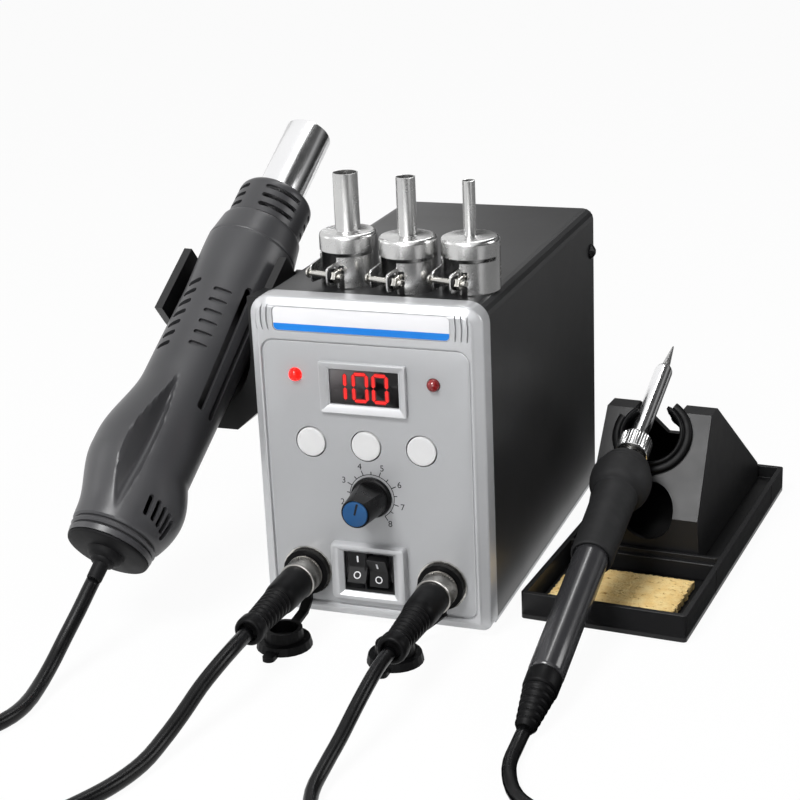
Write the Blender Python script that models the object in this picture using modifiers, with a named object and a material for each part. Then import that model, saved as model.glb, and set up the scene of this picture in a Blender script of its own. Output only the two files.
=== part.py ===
"""Bench rework station: a hot-air gun in its side cradle, a soldering iron on its stand,
and the control box that feeds both, with three spare nozzles standing on top of the box.

Everything is in metres with +Z up. Station coordinates have x = 0 at the middle of the
control box, y = 0 at its front panel and z = 0 on the bench.
"""
import math

import bmesh
import bpy
from mathutils import Matrix, Vector

# Whole set: the footprint's middle is moved onto the origin.
STATION_X = -0.0082
STATION_Y = -0.0616

# Clearances
GAP = 0.0003            # between pieces that rest on or pass each other
SLIP = 0.0002           # radial play of a shaft or a button in its hole
EPS = 0.0010            # how far a cutter runs past the face that it cuts

# Control box
PANEL_W = 0.1000
PANEL_H = 0.1395
PANEL_T = 0.0114
PANEL_CORNER = 0.0085
PANEL_EDGE = 0.0030
PANEL_WALL = 0.0030
FOOT_H = 0.0030
FOOT_R = 0.0060
FOOT_INSET_X = 0.0125
FOOT_INSET_Y = 0.0160
CASE_W = 0.0980
CASE_TOP = 0.1410
CASE_DEPTH = 0.1683
CASE_CORNER = 0.0050
SHEET_T = 0.0015
REAR_FLANGE = 0.0120
COVER_SCREW_Z = 0.1215
COVER_SCREW_R = 0.0016
COVER_HEAD_R = 0.0036
VENT_COUNT = 7
VENT_L = 0.0400
VENT_W = 0.0022
VENT_PITCH = 0.0052
VENT_Z = 0.0880

# Front panel layout, from the panel's middle (x) and the bench (z)
RECESS_W = 0.0890
RECESS_BOTTOM = PANEL_H * 0.06810
RECESS_TOP = PANEL_H * 0.89247
RECESS_D = 0.0008
PLATE_W = 0.0762
PLATE_H = 0.0106
PLATE_X = -0.0010
PLATE_Z = PANEL_H * 0.96631
PLATE_D = 0.0006
GROOVE_COUNT = 3
GROOVE_PITCH = 0.0030
GROOVE_H = 0.0098
GROOVE_W = 0.0009
GROOVE_D = 0.0008
DISPLAY_X = -0.0020
DISPLAY_Z = PANEL_H * 0.76846
DISPLAY_W = 0.0300
DISPLAY_H = 0.0150
DISPLAY_RIM = 0.0044
DISPLAY_RIM_H = 0.0018
WINDOW_T = 0.0012
LED_R = 0.0026
LED_X = 0.0298
LED_Z = PANEL_H * 0.79283
BUTTON_R = 0.0062
BUTTON_Z = PANEL_H * 0.58566
BUTTON_X = (-0.0250, -0.0009, 0.0232)
BUTTON_PROUD = 0.0006
BUTTON_TRAVEL = 0.0008
KNOB_X = 0.0005
KNOB_Z = PANEL_H * 0.42437
KNOB_BASE_R = 0.0088
KNOB_TOP_R = 0.0061
KNOB_L = 0.0180
KNOB_CAP_T = 0.0010
SHAFT_R = 0.0030
BUSHING_R = 0.0035
POT_R = 0.0078
SWITCH_X = -0.0036
SWITCH_Z = PANEL_H * 0.19068
SWITCH_W = 0.0246
SWITCH_H = 0.0178
SWITCH_DEPTH = 0.0210
SWITCH_WALL = 0.0012
SURROUND_RIM = 0.0046
SURROUND_PROUD = 0.0030
ROCKER_TILT = math.radians(11.0)
ROCKER_PIVOT_Y = 0.0035
SOCKET_X = 0.0300
SOCKET_Z = PANEL_H * 0.16631
SOCKET_R = 0.0060
SOCKET_BORE = 0.0047
SOCKET_FLANGE_R = 0.0108
SOCKET_FLANGE_T = 0.0010
SOCKET_PROUD = 0.0096
BOARD_T = 0.0014
BOARD_MARGIN = 0.0050
BOARD_W = PANEL_W - 2 * (PANEL_EDGE + BOARD_MARGIN)
BOARD_BOTTOM = PANEL_H * 0.31541
BOARD_TOP = PANEL_H * 0.87455

# Connectors and dust caps
STRAP_RING_R = 0.0100
STRAP_RING_T = 0.0022
RING_R = 0.0078
RING_L = 0.0095
PLUG_CORE_R = 0.0044
BOOT_R = 0.0067
BOOT_RIB_R = 0.0053
BOOT_END_R = 0.0061
PLUG_END = 0.0620
CAP_AT = ((-0.0312, -0.0258), (0.0180, -0.0262))
CAP_R = 0.0118
CAP_FLANGE_T = 0.0034
CAP_CUP_R = 0.0085
CAP_H = 0.0080
CAP_TAB = (0.0052, 0.0100)

# Mains inlet and transformer, inside and behind
INLET_W = 0.0270
INLET_H = 0.0200
INLET_Z = 0.0330
INLET_DEPTH = 0.0180
TRANSFORMER = (0.0560, 0.0520, 0.0460)
TRANSFORMER_Y = PANEL_T + CASE_DEPTH - 0.0617

# Hot-air gun: a frame at the middle of its rear face, +Z along the gun to its tip
GUN_REAR = (-0.1021, -0.0398, 0.0413)
GUN_PITCH = math.radians(37.3)
GUN_YAW = math.radians(7.15)
GUN_SEAM = math.radians(-37.0)
GUN_R = 0.0196
GUN_WALL = 0.0022
GUN_BODY_L = 0.1700
GUARD_R = 0.0176
GUARD_WALL = 0.0018
GUARD_L = 0.0240
TUBE_R = 0.0110
TUBE_WALL = 0.0008
TUBE_START = 0.1480
TUBE_END = 0.2300
GLAND_END = -0.0145
GLAND_R = 0.0062
GUN_CORD_R = 0.0031

# Cradle on the left side of the box
CRADLE_START = 0.1150
CRADLE_END = 0.1490
CRADLE_SIDE_PLAY = 0.0034
CRADLE_BACK_PLAY = 0.0012
CRADLE_WALL = 0.0040
CRADLE_BACK_WALL = 0.0030
CRADLE_ARM = 0.0112
BLOCK_X0 = -0.0975
BLOCK_Y = (0.0400, 0.0860)
BLOCK_Z = (0.0680, 0.1300)
BLOCK_CHAMFER = (0.0285, 0.0247)

# Spare nozzles: outlet radius and place on top of the box
NOZZLES = (
    ("large", 0.0052, (-0.0177, 0.0341)),
    ("medium", 0.0040, (0.0100, 0.0300)),
    ("small", 0.0026, (0.0354, 0.0338)),
)
NOZZLE_R = 0.0121
NOZZLE_WALL = 0.0007
NOZZLE_SKIRT = 0.0125
NOZZLE_CAP = 0.0220
NOZZLE_TALL = 0.0460
NOZZLE_EDGE = 0.0018
SLOT_H = 0.0014
EAR_L = 0.0075
EAR_H = 0.0080
EAR_T = 0.0009
EAR_LOW = 0.0022
EAR_TURN = math.radians(253.2)
EAR_SIDE = (-0.0078, 0.0026)
CLAMP_R = 0.0013

# Iron stand: a frame at the tray's front left corner, turned a little outwards
STAND_AT = (0.0566, 0.0224, 0.0)
STAND_YAW = math.radians(-4.0)
TRAY_W = 0.0716
TRAY_L = 0.1756
TRAY_H = 0.0130
TRAY_WALL = 0.0024
TRAY_FLOOR = 0.0026
TRAY_PAD_H = 0.0010
TRAY_RIDGE_Y = 0.0590
TOWER_X = (0.0090, 0.0600)
TOWER_LEAN = 0.0030
TOWER_BASE_Y = (0.0625, 0.1720)
TOWER_TOP_Y = (0.0920, 0.1025)
TOWER_BASE_Z = 0.0075
TOWER_KNEE_Z = 0.0275
TOWER_REAR_Z = 0.0150
TOWER_TOP_Z = 0.0664
TOWER_WALL = 0.0025
HOLE_AT = (0.0358, 0.0283)
HOLE_R = 0.0118
RING_AT = 0.0322
RING_RISE = 0.0368
NOTCH_HALF = 0.0108
NOTCH_TAPER = 0.136
FUNNEL_R = 0.0130
FUNNEL_END_R = 0.0118
FUNNEL_WALL = 0.0020
FUNNEL_FLANGE_R = 0.0180
FUNNEL_L = 0.0130
FUNNEL_OPEN = (math.radians(-62.0), math.radians(32.0))
SPONGE = ((0.0065, 0.0060), (0.0625, 0.0480))
SPONGE_T = 0.0042

# Soldering iron: a frame at the foot of its handle, +Z along the iron to its tip
IRON_FOOT = (0.0866, -0.0562, 0.0096)
IRON_AIM = (0.0893, 0.1030, 0.0585)
IRON_BOOT = (-0.0180, 0.0104)
IRON_HANDLE_R = 0.0073
IRON_GRIP = (0.0800, 0.1470)
IRON_GRIP_R = 0.0090
IRON_FLANGE_R = 0.0132
IRON_NUT = (0.1530, 0.1650)
IRON_NUT_R = 0.0068
IRON_BARREL_R = 0.0041
IRON_BARREL_END = 0.2160
IRON_TIP_END = 0.2350
IRON_TIP_SHANK = 0.0400
IRON_CORD_R = 0.00275

# Cords: routes on the bench by hand, and the neat coils that hold the rest of their length
GUN_COIL_AT = (-0.1120, -0.2060)
GUN_COIL_R = 0.0330
GUN_COIL_TURNS = (2, 2)
IRON_COIL_AT = (0.1010, -0.1755)
IRON_COIL_R = 0.0300
IRON_COIL_TURNS = (3, 2)
GUN_TAIL_ROUTE = (
    (-0.1036, -0.0516, 0.0322), (-0.1041, -0.0556, 0.0292), (-0.1050, -0.0627, 0.0237),
    (-0.1067, -0.0724, 0.0160), (-0.1076, -0.0830, 0.0090), (-0.1072, -0.0950, 0.0048),
    (-0.1062, -0.1068, 0.0035), (-0.1080, -0.1200, 0.0034), (-0.1170, -0.1370, 0.0034),
    (-0.1310, -0.1550, 0.0034), (-0.1440, -0.1730, 0.0034), (-0.1528, -0.1930, 0.0034),
    (-0.1546, -0.2060, 0.0034),
)
GUN_LEAD_ROUTE = (
    (-0.0300, -0.0624, 0.0232), (-0.0300, -0.0700, 0.0232), (-0.0301, -0.0765, 0.0229),
    (-0.0315, -0.0860, 0.0208), (-0.0340, -0.0970, 0.0166), (-0.0362, -0.1090, 0.0112),
    (-0.0385, -0.1210, 0.0066), (-0.0405, -0.1340, 0.0038), (-0.0445, -0.1510, 0.0034),
    (-0.0530, -0.1700, 0.0034), (-0.0640, -0.1880, 0.0034), (-0.0697, -0.2060, 0.0034),
)
IRON_TAIL_ROUTE = (
    (0.0863, -0.0741, 0.0042), (0.0863, -0.0830, 0.0031), (0.0880, -0.0990, 0.0030),
    (0.0960, -0.1160, 0.0030), (0.1110, -0.1270, 0.0030), (0.1280, -0.1380, 0.0030),
    (0.1395, -0.1560, 0.0030), (0.1423, -0.1755, 0.0030),
)
IRON_LEAD_ROUTE = (
    (0.0300, -0.0624, 0.0232), (0.0300, -0.0700, 0.0232), (0.0300, -0.0765, 0.0229),
    (0.0299, -0.0870, 0.0210), (0.0290, -0.0980, 0.0168), (0.0276, -0.1090, 0.0112),
    (0.0262, -0.1210, 0.0064), (0.0265, -0.1340, 0.0034), (0.0320, -0.1470, 0.0030),
    (0.0430, -0.1560, 0.0030), (0.0545, -0.1650, 0.0030), (0.0597, -0.1755, 0.0030),
)

MATERIALS = {
    "black_paint": ((0.022, 0.022, 0.024), 0.38, 0.0),
    "silver_paint": ((0.50, 0.50, 0.51), 0.36, 0.35),
    "steel": ((0.62, 0.62, 0.63), 0.22, 1.0),
    "dark_plastic": ((0.045, 0.045, 0.047), 0.55, 0.0),
    "grey_plastic": ((0.085, 0.085, 0.088), 0.58, 0.0),
    "black_rubber": ((0.018, 0.018, 0.018), 0.70, 0.0),
    "white_plastic": ((0.74, 0.74, 0.74), 0.30, 0.0),
    "blue_plastic": ((0.02, 0.14, 0.40), 0.40, 0.0),
    "red_lens": ((0.60, 0.02, 0.02), 0.20, 0.0),
    "smoked_lens": ((0.015, 0.010, 0.010), 0.08, 0.0),
    "circuit_board": ((0.02, 0.16, 0.06), 0.50, 0.0),
    "iron_core": ((0.20, 0.19, 0.18), 0.45, 0.8),
    "ceramic": ((0.70, 0.66, 0.58), 0.70, 0.0),
    "sponge_yellow": ((0.72, 0.46, 0.15), 0.90, 0.0),
}


def clear_scene():
    for thing in list(bpy.data.objects):
        bpy.data.objects.remove(thing, do_unlink=True)


def make_collection(name):
    group = bpy.data.collections.new(name)
    bpy.context.scene.collection.children.link(group)
    return group


clear_scene()
PARTS = make_collection("rework_station")
CUTTERS = make_collection("cutters")


def material(name, label):
    colour, roughness, metallic = MATERIALS[name]
    paint = bpy.data.materials.new(label)
    paint.use_nodes = True
    shader = paint.node_tree.nodes["Principled BSDF"]
    shader.inputs["Base Color"].default_value = (*colour, 1.0)
    shader.inputs["Roughness"].default_value = roughness
    shader.inputs["Metallic"].default_value = metallic
    return paint


def frame(name, parent, location, rotation=(0.0, 0.0, 0.0)):
    empty = bpy.data.objects.new(name, None)
    PARTS.objects.link(empty)
    empty.location = location
    empty.rotation_euler = rotation
    empty.parent = parent
    return empty


def place(thing, parent, location, rotation):
    thing.location = location
    thing.rotation_euler = rotation
    thing.parent = parent


def finish_mesh(name, bm, sharp=math.radians(35.0)):
    mesh = bpy.data.meshes.new(name)
    bm.to_mesh(mesh)
    bm.free()
    mesh.shade_smooth()
    mesh.set_sharp_from_angle(angle=sharp)
    return mesh


def add_part(name, bm, look, parent, location=(0, 0, 0), rotation=(0, 0, 0)):
    thing = bpy.data.objects.new(name, finish_mesh(name, bm))
    thing.data.materials.append(material(look, name))
    PARTS.objects.link(thing)
    place(thing, parent, location, rotation)
    return thing


def add_cutter(name, bm, parent, location=(0, 0, 0), rotation=(0, 0, 0)):
    thing = bpy.data.objects.new(name, finish_mesh(name, bm))
    thing.hide_render = True
    thing.display_type = "WIRE"
    CUTTERS.objects.link(thing)
    place(thing, parent, location, rotation)
    return thing


def boolean(thing, tool, operation="DIFFERENCE"):
    step = thing.modifiers.new(tool.name, "BOOLEAN")
    step.operation = operation
    step.solver = "EXACT"
    step.use_self = operation == "UNION"
    step.object = tool


def box(bm, low, high, turn=None):
    """A box between two corners, turned about the frame's origin by a matrix if one is given."""
    low = Vector(low)
    high = Vector(high)
    size = high - low
    matrix = Matrix.Translation((low + high) / 2) @ Matrix.Diagonal((*size, 1.0))
    if turn is not None:
        matrix = turn @ matrix
    bmesh.ops.create_cube(bm, size=1.0, matrix=matrix)


def rod(bm, radius, low, high, segments=20, end_radius=None, turn=None):
    """A cylinder or cone along Z from low to high, turned by a matrix if one is given."""
    matrix = Matrix.Translation((0, 0, (low + high) / 2))
    if turn is not None:
        matrix = turn @ matrix
    bmesh.ops.create_cone(
        bm, cap_ends=True, segments=segments, radius1=radius,
        radius2=radius if end_radius is None else end_radius,
        depth=high - low, matrix=matrix)


def facing(x, y, z):
    """A place on the front panel whose local Z points out of the panel."""
    return Matrix.Translation((x, y, z)) @ Matrix.Rotation(math.radians(90.0), 4, "X")


def rounded_rectangle(width, height, radius, steps=4):
    points = []
    for corner in range(4):
        sx = (1, -1, -1, 1)[corner]
        sz = (1, 1, -1, -1)[corner]
        for step in range(steps + 1):
            angle = math.radians(90.0) * (corner + step / steps)
            points.append((sx * (width / 2 - radius) + radius * math.cos(angle),
                           sz * (height / 2 - radius) + radius * math.sin(angle)))
    return points


def prism(bm, outline, low, high, turn=None):
    """A flat outline in X and Y, extruded along Z from low to high."""
    ring = [bm.verts.new((x, y, low)) for x, y in outline]
    face = bm.faces.new(ring)
    face.normal_update()
    if face.normal.z > 0:
        face.normal_flip()
    raised = bmesh.ops.extrude_face_region(bm, geom=[face], use_keep_orig=True)
    verts = [item for item in raised["geom"] if isinstance(item, bmesh.types.BMVert)]
    bmesh.ops.translate(bm, verts=verts, vec=(0, 0, high - low))
    bmesh.ops.recalc_face_normals(bm, faces=bm.faces[:])
    if turn is not None:
        bmesh.ops.transform(bm, matrix=turn, verts=ring + verts)


def turned(name, profile, look, parent, location=(0, 0, 0), rotation=(0, 0, 0), segments=24):
    """A revolved piece: (radius, height) points from the top down its outer side.

    A profile that starts and ends on the axis is solid; any other closes on itself as a ring.
    """
    bm = bmesh.new()
    verts = [bm.verts.new((radius, 0.0, height)) for radius, height in profile]
    for first, second in zip(verts, verts[1:]):
        bm.edges.new((first, second))
    if profile[0][0] > 0.0:
        bm.edges.new((verts[-1], verts[0]))
    thing = add_part(name, bm, look, parent, location, rotation)
    spin = thing.modifiers.new("revolve", "SCREW")
    spin.steps = segments
    spin.render_steps = segments
    spin.use_merge_vertices = True
    spin.merge_threshold = 0.00001
    spin.use_smooth_shade = True
    return thing


def smooth_route(points, spacing):
    """Points at an even spacing on a smooth curve through the given ones."""
    anchors = [Vector(point) for point in points]
    anchors = [2 * anchors[0] - anchors[1]] + anchors + [2 * anchors[-1] - anchors[-2]]
    fine = []
    for index in range(1, len(anchors) - 2):
        a, b, c, d = anchors[index - 1:index + 3]
        for step in range(12):
            t = step / 12
            fine.append(0.5 * (2 * b + (c - a) * t + (2 * a - 5 * b + 4 * c - d) * t * t
                               + (3 * b - a - 3 * c + d) * t ** 3))
    fine.append(anchors[-2])
    lengths = [0.0]
    for first, second in zip(fine, fine[1:]):
        lengths.append(lengths[-1] + (second - first).length)
    count = max(2, round(lengths[-1] / spacing))
    even = []
    for step in range(count + 1):
        target = lengths[-1] * step / count
        index = max(1, next((i for i, total in enumerate(lengths) if total >= target - 1e-9),
                            len(lengths) - 1))
        share = (target - lengths[index - 1]) / (lengths[index] - lengths[index - 1])
        even.append(fine[index - 1].lerp(fine[index], share))
    return even


def cord(name, route, radius, parent):
    curve = bpy.data.curves.new(name, "CURVE")
    curve.dimensions = "3D"
    curve.bevel_depth = radius
    curve.bevel_resolution = 2
    curve.use_fill_caps = True
    points = smooth_route(route, 4.6 * radius)
    line = curve.splines.new("POLY")
    line.points.add(len(points) - 1)
    for spot, point in zip(line.points, points):
        spot.co = (*point, 1.0)
    thing = bpy.data.objects.new(name, curve)
    thing.data.materials.append(material("black_rubber", name))
    PARTS.objects.link(thing)
    thing.parent = parent
    return thing


def tapered_profile(*stations):
    """A solid turned profile through (radius, height) stations, closed on the axis."""
    return [(0.0, stations[0][1])] + list(stations) + [(0.0, stations[-1][1])]


def control_box(station):
    case_rear = PANEL_T + GAP + CASE_DEPTH
    make_cover(station, case_rear)
    make_chassis(station, case_rear)
    make_panel(station)
    make_board(station)
    make_controls(station)
    make_switches(station)
    make_inner_parts(station, case_rear)


def make_cover(station, case_rear):
    """A sheet steel cover: two sides and the top, bent round the chassis."""
    bm = bmesh.new()
    bottom = FOOT_H + SHEET_T + GAP
    half = CASE_W / 2
    path = [(-half, bottom)]
    for side, start in ((-1, 180.0), (1, 90.0)):
        for step in range(5):
            angle = math.radians(start - 90.0 * step / 4)
            path.append((side * (half - CASE_CORNER) + CASE_CORNER * math.cos(angle),
                         CASE_TOP - CASE_CORNER + CASE_CORNER * math.sin(angle)))
    path.append((half, bottom))
    front = PANEL_T + GAP
    verts = [bm.verts.new((x, front, z)) for x, z in path]
    edges = [bm.edges.new(pair) for pair in zip(verts, verts[1:])]
    wall = bmesh.ops.extrude_edge_only(bm, edges=edges)
    moved = [item for item in wall["geom"] if isinstance(item, bmesh.types.BMVert)]
    bmesh.ops.translate(bm, verts=moved, vec=(0, case_rear - front, 0))
    bmesh.ops.recalc_face_normals(bm, faces=bm.faces[:])
    bm.normal_update()
    top = max(bm.faces, key=lambda face: face.calc_center_median().z)
    if top.normal.z < 0:
        bmesh.ops.reverse_faces(bm, faces=bm.faces[:])
    cover = add_part("case_cover", bm, "black_paint", station)
    sheet = cover.modifiers.new("sheet", "SOLIDIFY")
    sheet.thickness = SHEET_T
    sheet.offset = -1.0
    holes = bmesh.new()
    screw_y = case_rear - REAR_FLANGE / 2
    rod(holes, COVER_SCREW_R + SLIP, -half - EPS, half + EPS, 12,
        turn=Matrix.Translation((0, screw_y, COVER_SCREW_Z)) @ Matrix.Rotation(math.pi / 2, 4, "Y"))
    boolean(cover, add_cutter("cover_screw_holes", holes, station))
    for side, name in ((1, "cover_screw_right"), (-1, "cover_screw_left")):
        shank = SHEET_T + 0.0040
        profile = [(0.0, 0.0026), (0.0014, 0.0024), (0.0026, 0.0016), (COVER_HEAD_R, GAP + 0.0004),
                   (COVER_HEAD_R, GAP), (COVER_SCREW_R, GAP), (COVER_SCREW_R, -shank),
                   (0.0, -shank)]
        turned(name, profile, "black_paint", station, (side * half, screw_y, COVER_SCREW_Z),
               (0.0, side * math.pi / 2, 0.0), 16)


def make_chassis(station, case_rear):
    """The bottom pan and the rear plate in one bent sheet, with its flanges and four feet."""
    bm = bmesh.new()
    half = CASE_W / 2 - SHEET_T - GAP
    front = PANEL_T + GAP
    box(bm, (-CASE_W / 2, front, FOOT_H), (CASE_W / 2, case_rear, FOOT_H + SHEET_T))
    chassis = add_part("chassis_pan", bm, "black_paint", station)
    bm = bmesh.new()
    top = CASE_TOP - SHEET_T - GAP
    bend = CASE_CORNER - SHEET_T
    outline = [(-half, FOOT_H), (half, FOOT_H)]
    for side, start in ((1, 0.0), (-1, 90.0)):
        for step in range(4):
            angle = math.radians(start + 30.0 * step)
            outline.append((side * (half - bend) + bend * math.cos(angle),
                            top - bend + bend * math.sin(angle)))
    prism(bm, outline, -case_rear, SHEET_T - case_rear, Matrix.Rotation(math.pi / 2, 4, "X"))
    rear = add_cutter("rear_plate", bm, station)
    boolean(chassis, rear, "UNION")
    bm = bmesh.new()
    for side in (-1, 1):
        inner, outer = sorted((side * (half - SHEET_T), side * half))
        box(bm, (inner, case_rear - REAR_FLANGE, FOOT_H + SHEET_T / 2),
            (outer, case_rear - SHEET_T / 2, CASE_TOP - SHEET_T - CASE_CORNER))
    boolean(chassis, add_cutter("side_flanges", bm, station), "UNION")
    bm = bmesh.new()
    for side in (-1, 1):
        for y in (front + FOOT_INSET_Y, case_rear - FOOT_INSET_Y):
            spot = Matrix.Translation((side * (CASE_W / 2 - FOOT_INSET_X), y, 0))
            rod(bm, FOOT_R - 0.0010, 0.0, FOOT_H + SHEET_T / 2, 16, FOOT_R, spot)
    boolean(chassis, add_cutter("feet", bm, station), "UNION")
    bm = bmesh.new()
    for index in range(VENT_COUNT):
        z = VENT_Z + (index - (VENT_COUNT - 1) / 2) * VENT_PITCH
        box(bm, (-VENT_L / 2, case_rear - 2 * SHEET_T, z - VENT_W / 2),
            (VENT_L / 2, case_rear + EPS, z + VENT_W / 2))
    box(bm, (-INLET_W / 2 - GAP, case_rear - 2 * SHEET_T, INLET_Z - INLET_H / 2 - GAP),
        (INLET_W / 2 + GAP, case_rear + EPS, INLET_Z + INLET_H / 2 + GAP))
    rod(bm, COVER_SCREW_R + SLIP, -CASE_W / 2, CASE_W / 2, 12,
        turn=Matrix.Translation((0, case_rear - REAR_FLANGE / 2, COVER_SCREW_Z))
        @ Matrix.Rotation(math.pi / 2, 4, "Y"))
    boolean(chassis, add_cutter("rear_openings", bm, station))


def surround_size():
    width = SWITCH_W + 2 * SWITCH_WALL
    height = SWITCH_H + 2 * SWITCH_WALL
    return width, height


def make_panel(station):
    """The moulded front: a rounded slab, hollow behind, with raised frames and its holes."""
    middle = FOOT_H + PANEL_H / 2
    bm = bmesh.new()
    prism(bm, rounded_rectangle(PANEL_W, PANEL_H, PANEL_CORNER), -PANEL_T, 0.0,
          facing(0, 0, middle))
    rim = [edge for edge in bm.edges if all(vert.co.y < EPS / 10 for vert in edge.verts)]
    bmesh.ops.bevel(bm, geom=rim, offset=PANEL_EDGE, segments=3, profile=0.5, material=-1,
                    affect="EDGES", clamp_overlap=True)
    panel = add_part("front_panel", bm, "silver_paint", station)
    bm = bmesh.new()
    wall = PANEL_EDGE
    back = facing(0, 0, middle)
    prism(bm, rounded_rectangle(PANEL_W - 2 * wall, PANEL_H - 2 * wall, PANEL_CORNER - wall),
          -PANEL_T - EPS, -PANEL_WALL - RECESS_D, back)
    boolean(panel, add_cutter("panel_hollow", bm, station))
    bm = bmesh.new()
    recess_mid = (RECESS_BOTTOM + RECESS_TOP) / 2
    prism(bm, rounded_rectangle(RECESS_W, RECESS_TOP - RECESS_BOTTOM, 0.0060),
          -RECESS_D, EPS, facing(0, 0, recess_mid))
    boolean(panel, add_cutter("control_recess", bm, station))
    bm = bmesh.new()
    prism(bm, rounded_rectangle(PLATE_W, PLATE_H, 0.0022, 2), -PLATE_D, EPS,
          facing(PLATE_X, 0, PLATE_Z))
    for side in (-1, 1):
        for index in range(GROOVE_COUNT):
            x = PLATE_X + side * (PLATE_W / 2 + GROOVE_PITCH * (index + 0.7))
            box(bm, (x - GROOVE_W / 2, -EPS, PLATE_Z - GROOVE_H / 2),
                (x + GROOVE_W / 2, GROOVE_D, PLATE_Z + GROOVE_H / 2))
    boolean(panel, add_cutter("plate_recess", bm, station))
    bm = bmesh.new()
    sunk = RECESS_D + 0.0005
    prism(bm, rounded_rectangle(DISPLAY_W + 2 * DISPLAY_RIM, DISPLAY_H + 1.4 * DISPLAY_RIM,
                                0.0010, 1), -sunk, DISPLAY_RIM_H - RECESS_D,
          facing(DISPLAY_X, 0, DISPLAY_Z))
    width, height = surround_size()
    prism(bm, rounded_rectangle(width + 2 * SURROUND_RIM, height + 1.6 * SURROUND_RIM, 0.0015, 1),
          -sunk, SURROUND_PROUD - RECESS_D, facing(SWITCH_X, 0, SWITCH_Z))
    for x in (-BOARD_W / 2 + 0.0040, BOARD_W / 2 - 0.0040):
        for z in (BOARD_BOTTOM + 0.0040, BOARD_TOP - 0.0040):
            rod(bm, 0.0025, -(PANEL_T - BOARD_T - GAP), -PANEL_WALL, 10, turn=facing(x, 0, z))
    frames = add_cutter("panel_frames", bm, station)
    rim = frames.modifiers.new("soft_rims", "BEVEL")
    rim.width = 0.0008
    rim.segments = 1
    rim.limit_method = "ANGLE"
    rim.angle_limit = math.radians(80.0)
    boolean(panel, frames, "UNION")
    bm = bmesh.new()
    through = (-PANEL_T, 0.0060)
    prism(bm, rounded_rectangle(DISPLAY_W, DISPLAY_H, 0.0004, 1), *through,
          facing(DISPLAY_X, 0, DISPLAY_Z))
    prism(bm, rounded_rectangle(width + 2 * GAP, height + 2 * GAP, 0.0004, 1), *through,
          facing(SWITCH_X, 0, SWITCH_Z))
    for side in (-1, 1):
        rod(bm, LED_R + SLIP, *through, 12, turn=facing(side * LED_X, 0, LED_Z))
        rod(bm, SOCKET_R + SLIP, *through, 20, turn=facing(side * SOCKET_X, 0, SOCKET_Z))
    for x in BUTTON_X:
        rod(bm, BUTTON_R + SLIP, *through, 24, turn=facing(x, 0, BUTTON_Z))
    rod(bm, BUSHING_R + SLIP, *through, 16, turn=facing(KNOB_X, 0, KNOB_Z))
    boolean(panel, add_cutter("panel_holes", bm, station))
    bm = bmesh.new()
    for side in (-1, 1):
        rod(bm, SOCKET_FLANGE_R + GAP, -RECESS_D - GAP / 10, 0.0060, 24,
            turn=facing(side * SOCKET_X, 0, SOCKET_Z))
    boolean(panel, add_cutter("flange_seats", bm, station))


def inner_face():
    """How far behind the panel's front plane its inner face lies."""
    return PANEL_WALL + RECESS_D


def make_board(station):
    """The control board behind the panel, with the display block and the button switches."""
    front = PANEL_T - BOARD_T
    bm = bmesh.new()
    box(bm, (-BOARD_W / 2, front, BOARD_BOTTOM), (BOARD_W / 2, PANEL_T, BOARD_TOP))
    board = add_part("control_board", bm, "circuit_board", station)
    bm = bmesh.new()
    box(bm, (DISPLAY_X - DISPLAY_W / 2 - 0.0015, inner_face() + GAP, DISPLAY_Z - DISPLAY_H / 2),
        (DISPLAY_X + DISPLAY_W / 2 + 0.0015, front + BOARD_T / 2, DISPLAY_Z + DISPLAY_H / 2))
    for x in BUTTON_X:
        box(bm, (x - 0.0030, front - 0.0030, BUTTON_Z - 0.0030),
            (x + 0.0030, front + BOARD_T / 2, BUTTON_Z + 0.0030))
    boolean(board, add_cutter("board_blocks", bm, station), "UNION")
    bm = bmesh.new()
    prism(bm, rounded_rectangle(DISPLAY_W - 2 * GAP, DISPLAY_H - 2 * GAP, 0.0003, 1),
          -inner_face(), -inner_face() + WINDOW_T, facing(DISPLAY_X, 0, DISPLAY_Z))
    add_part("display_window", bm, "smoked_lens", station)


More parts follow.
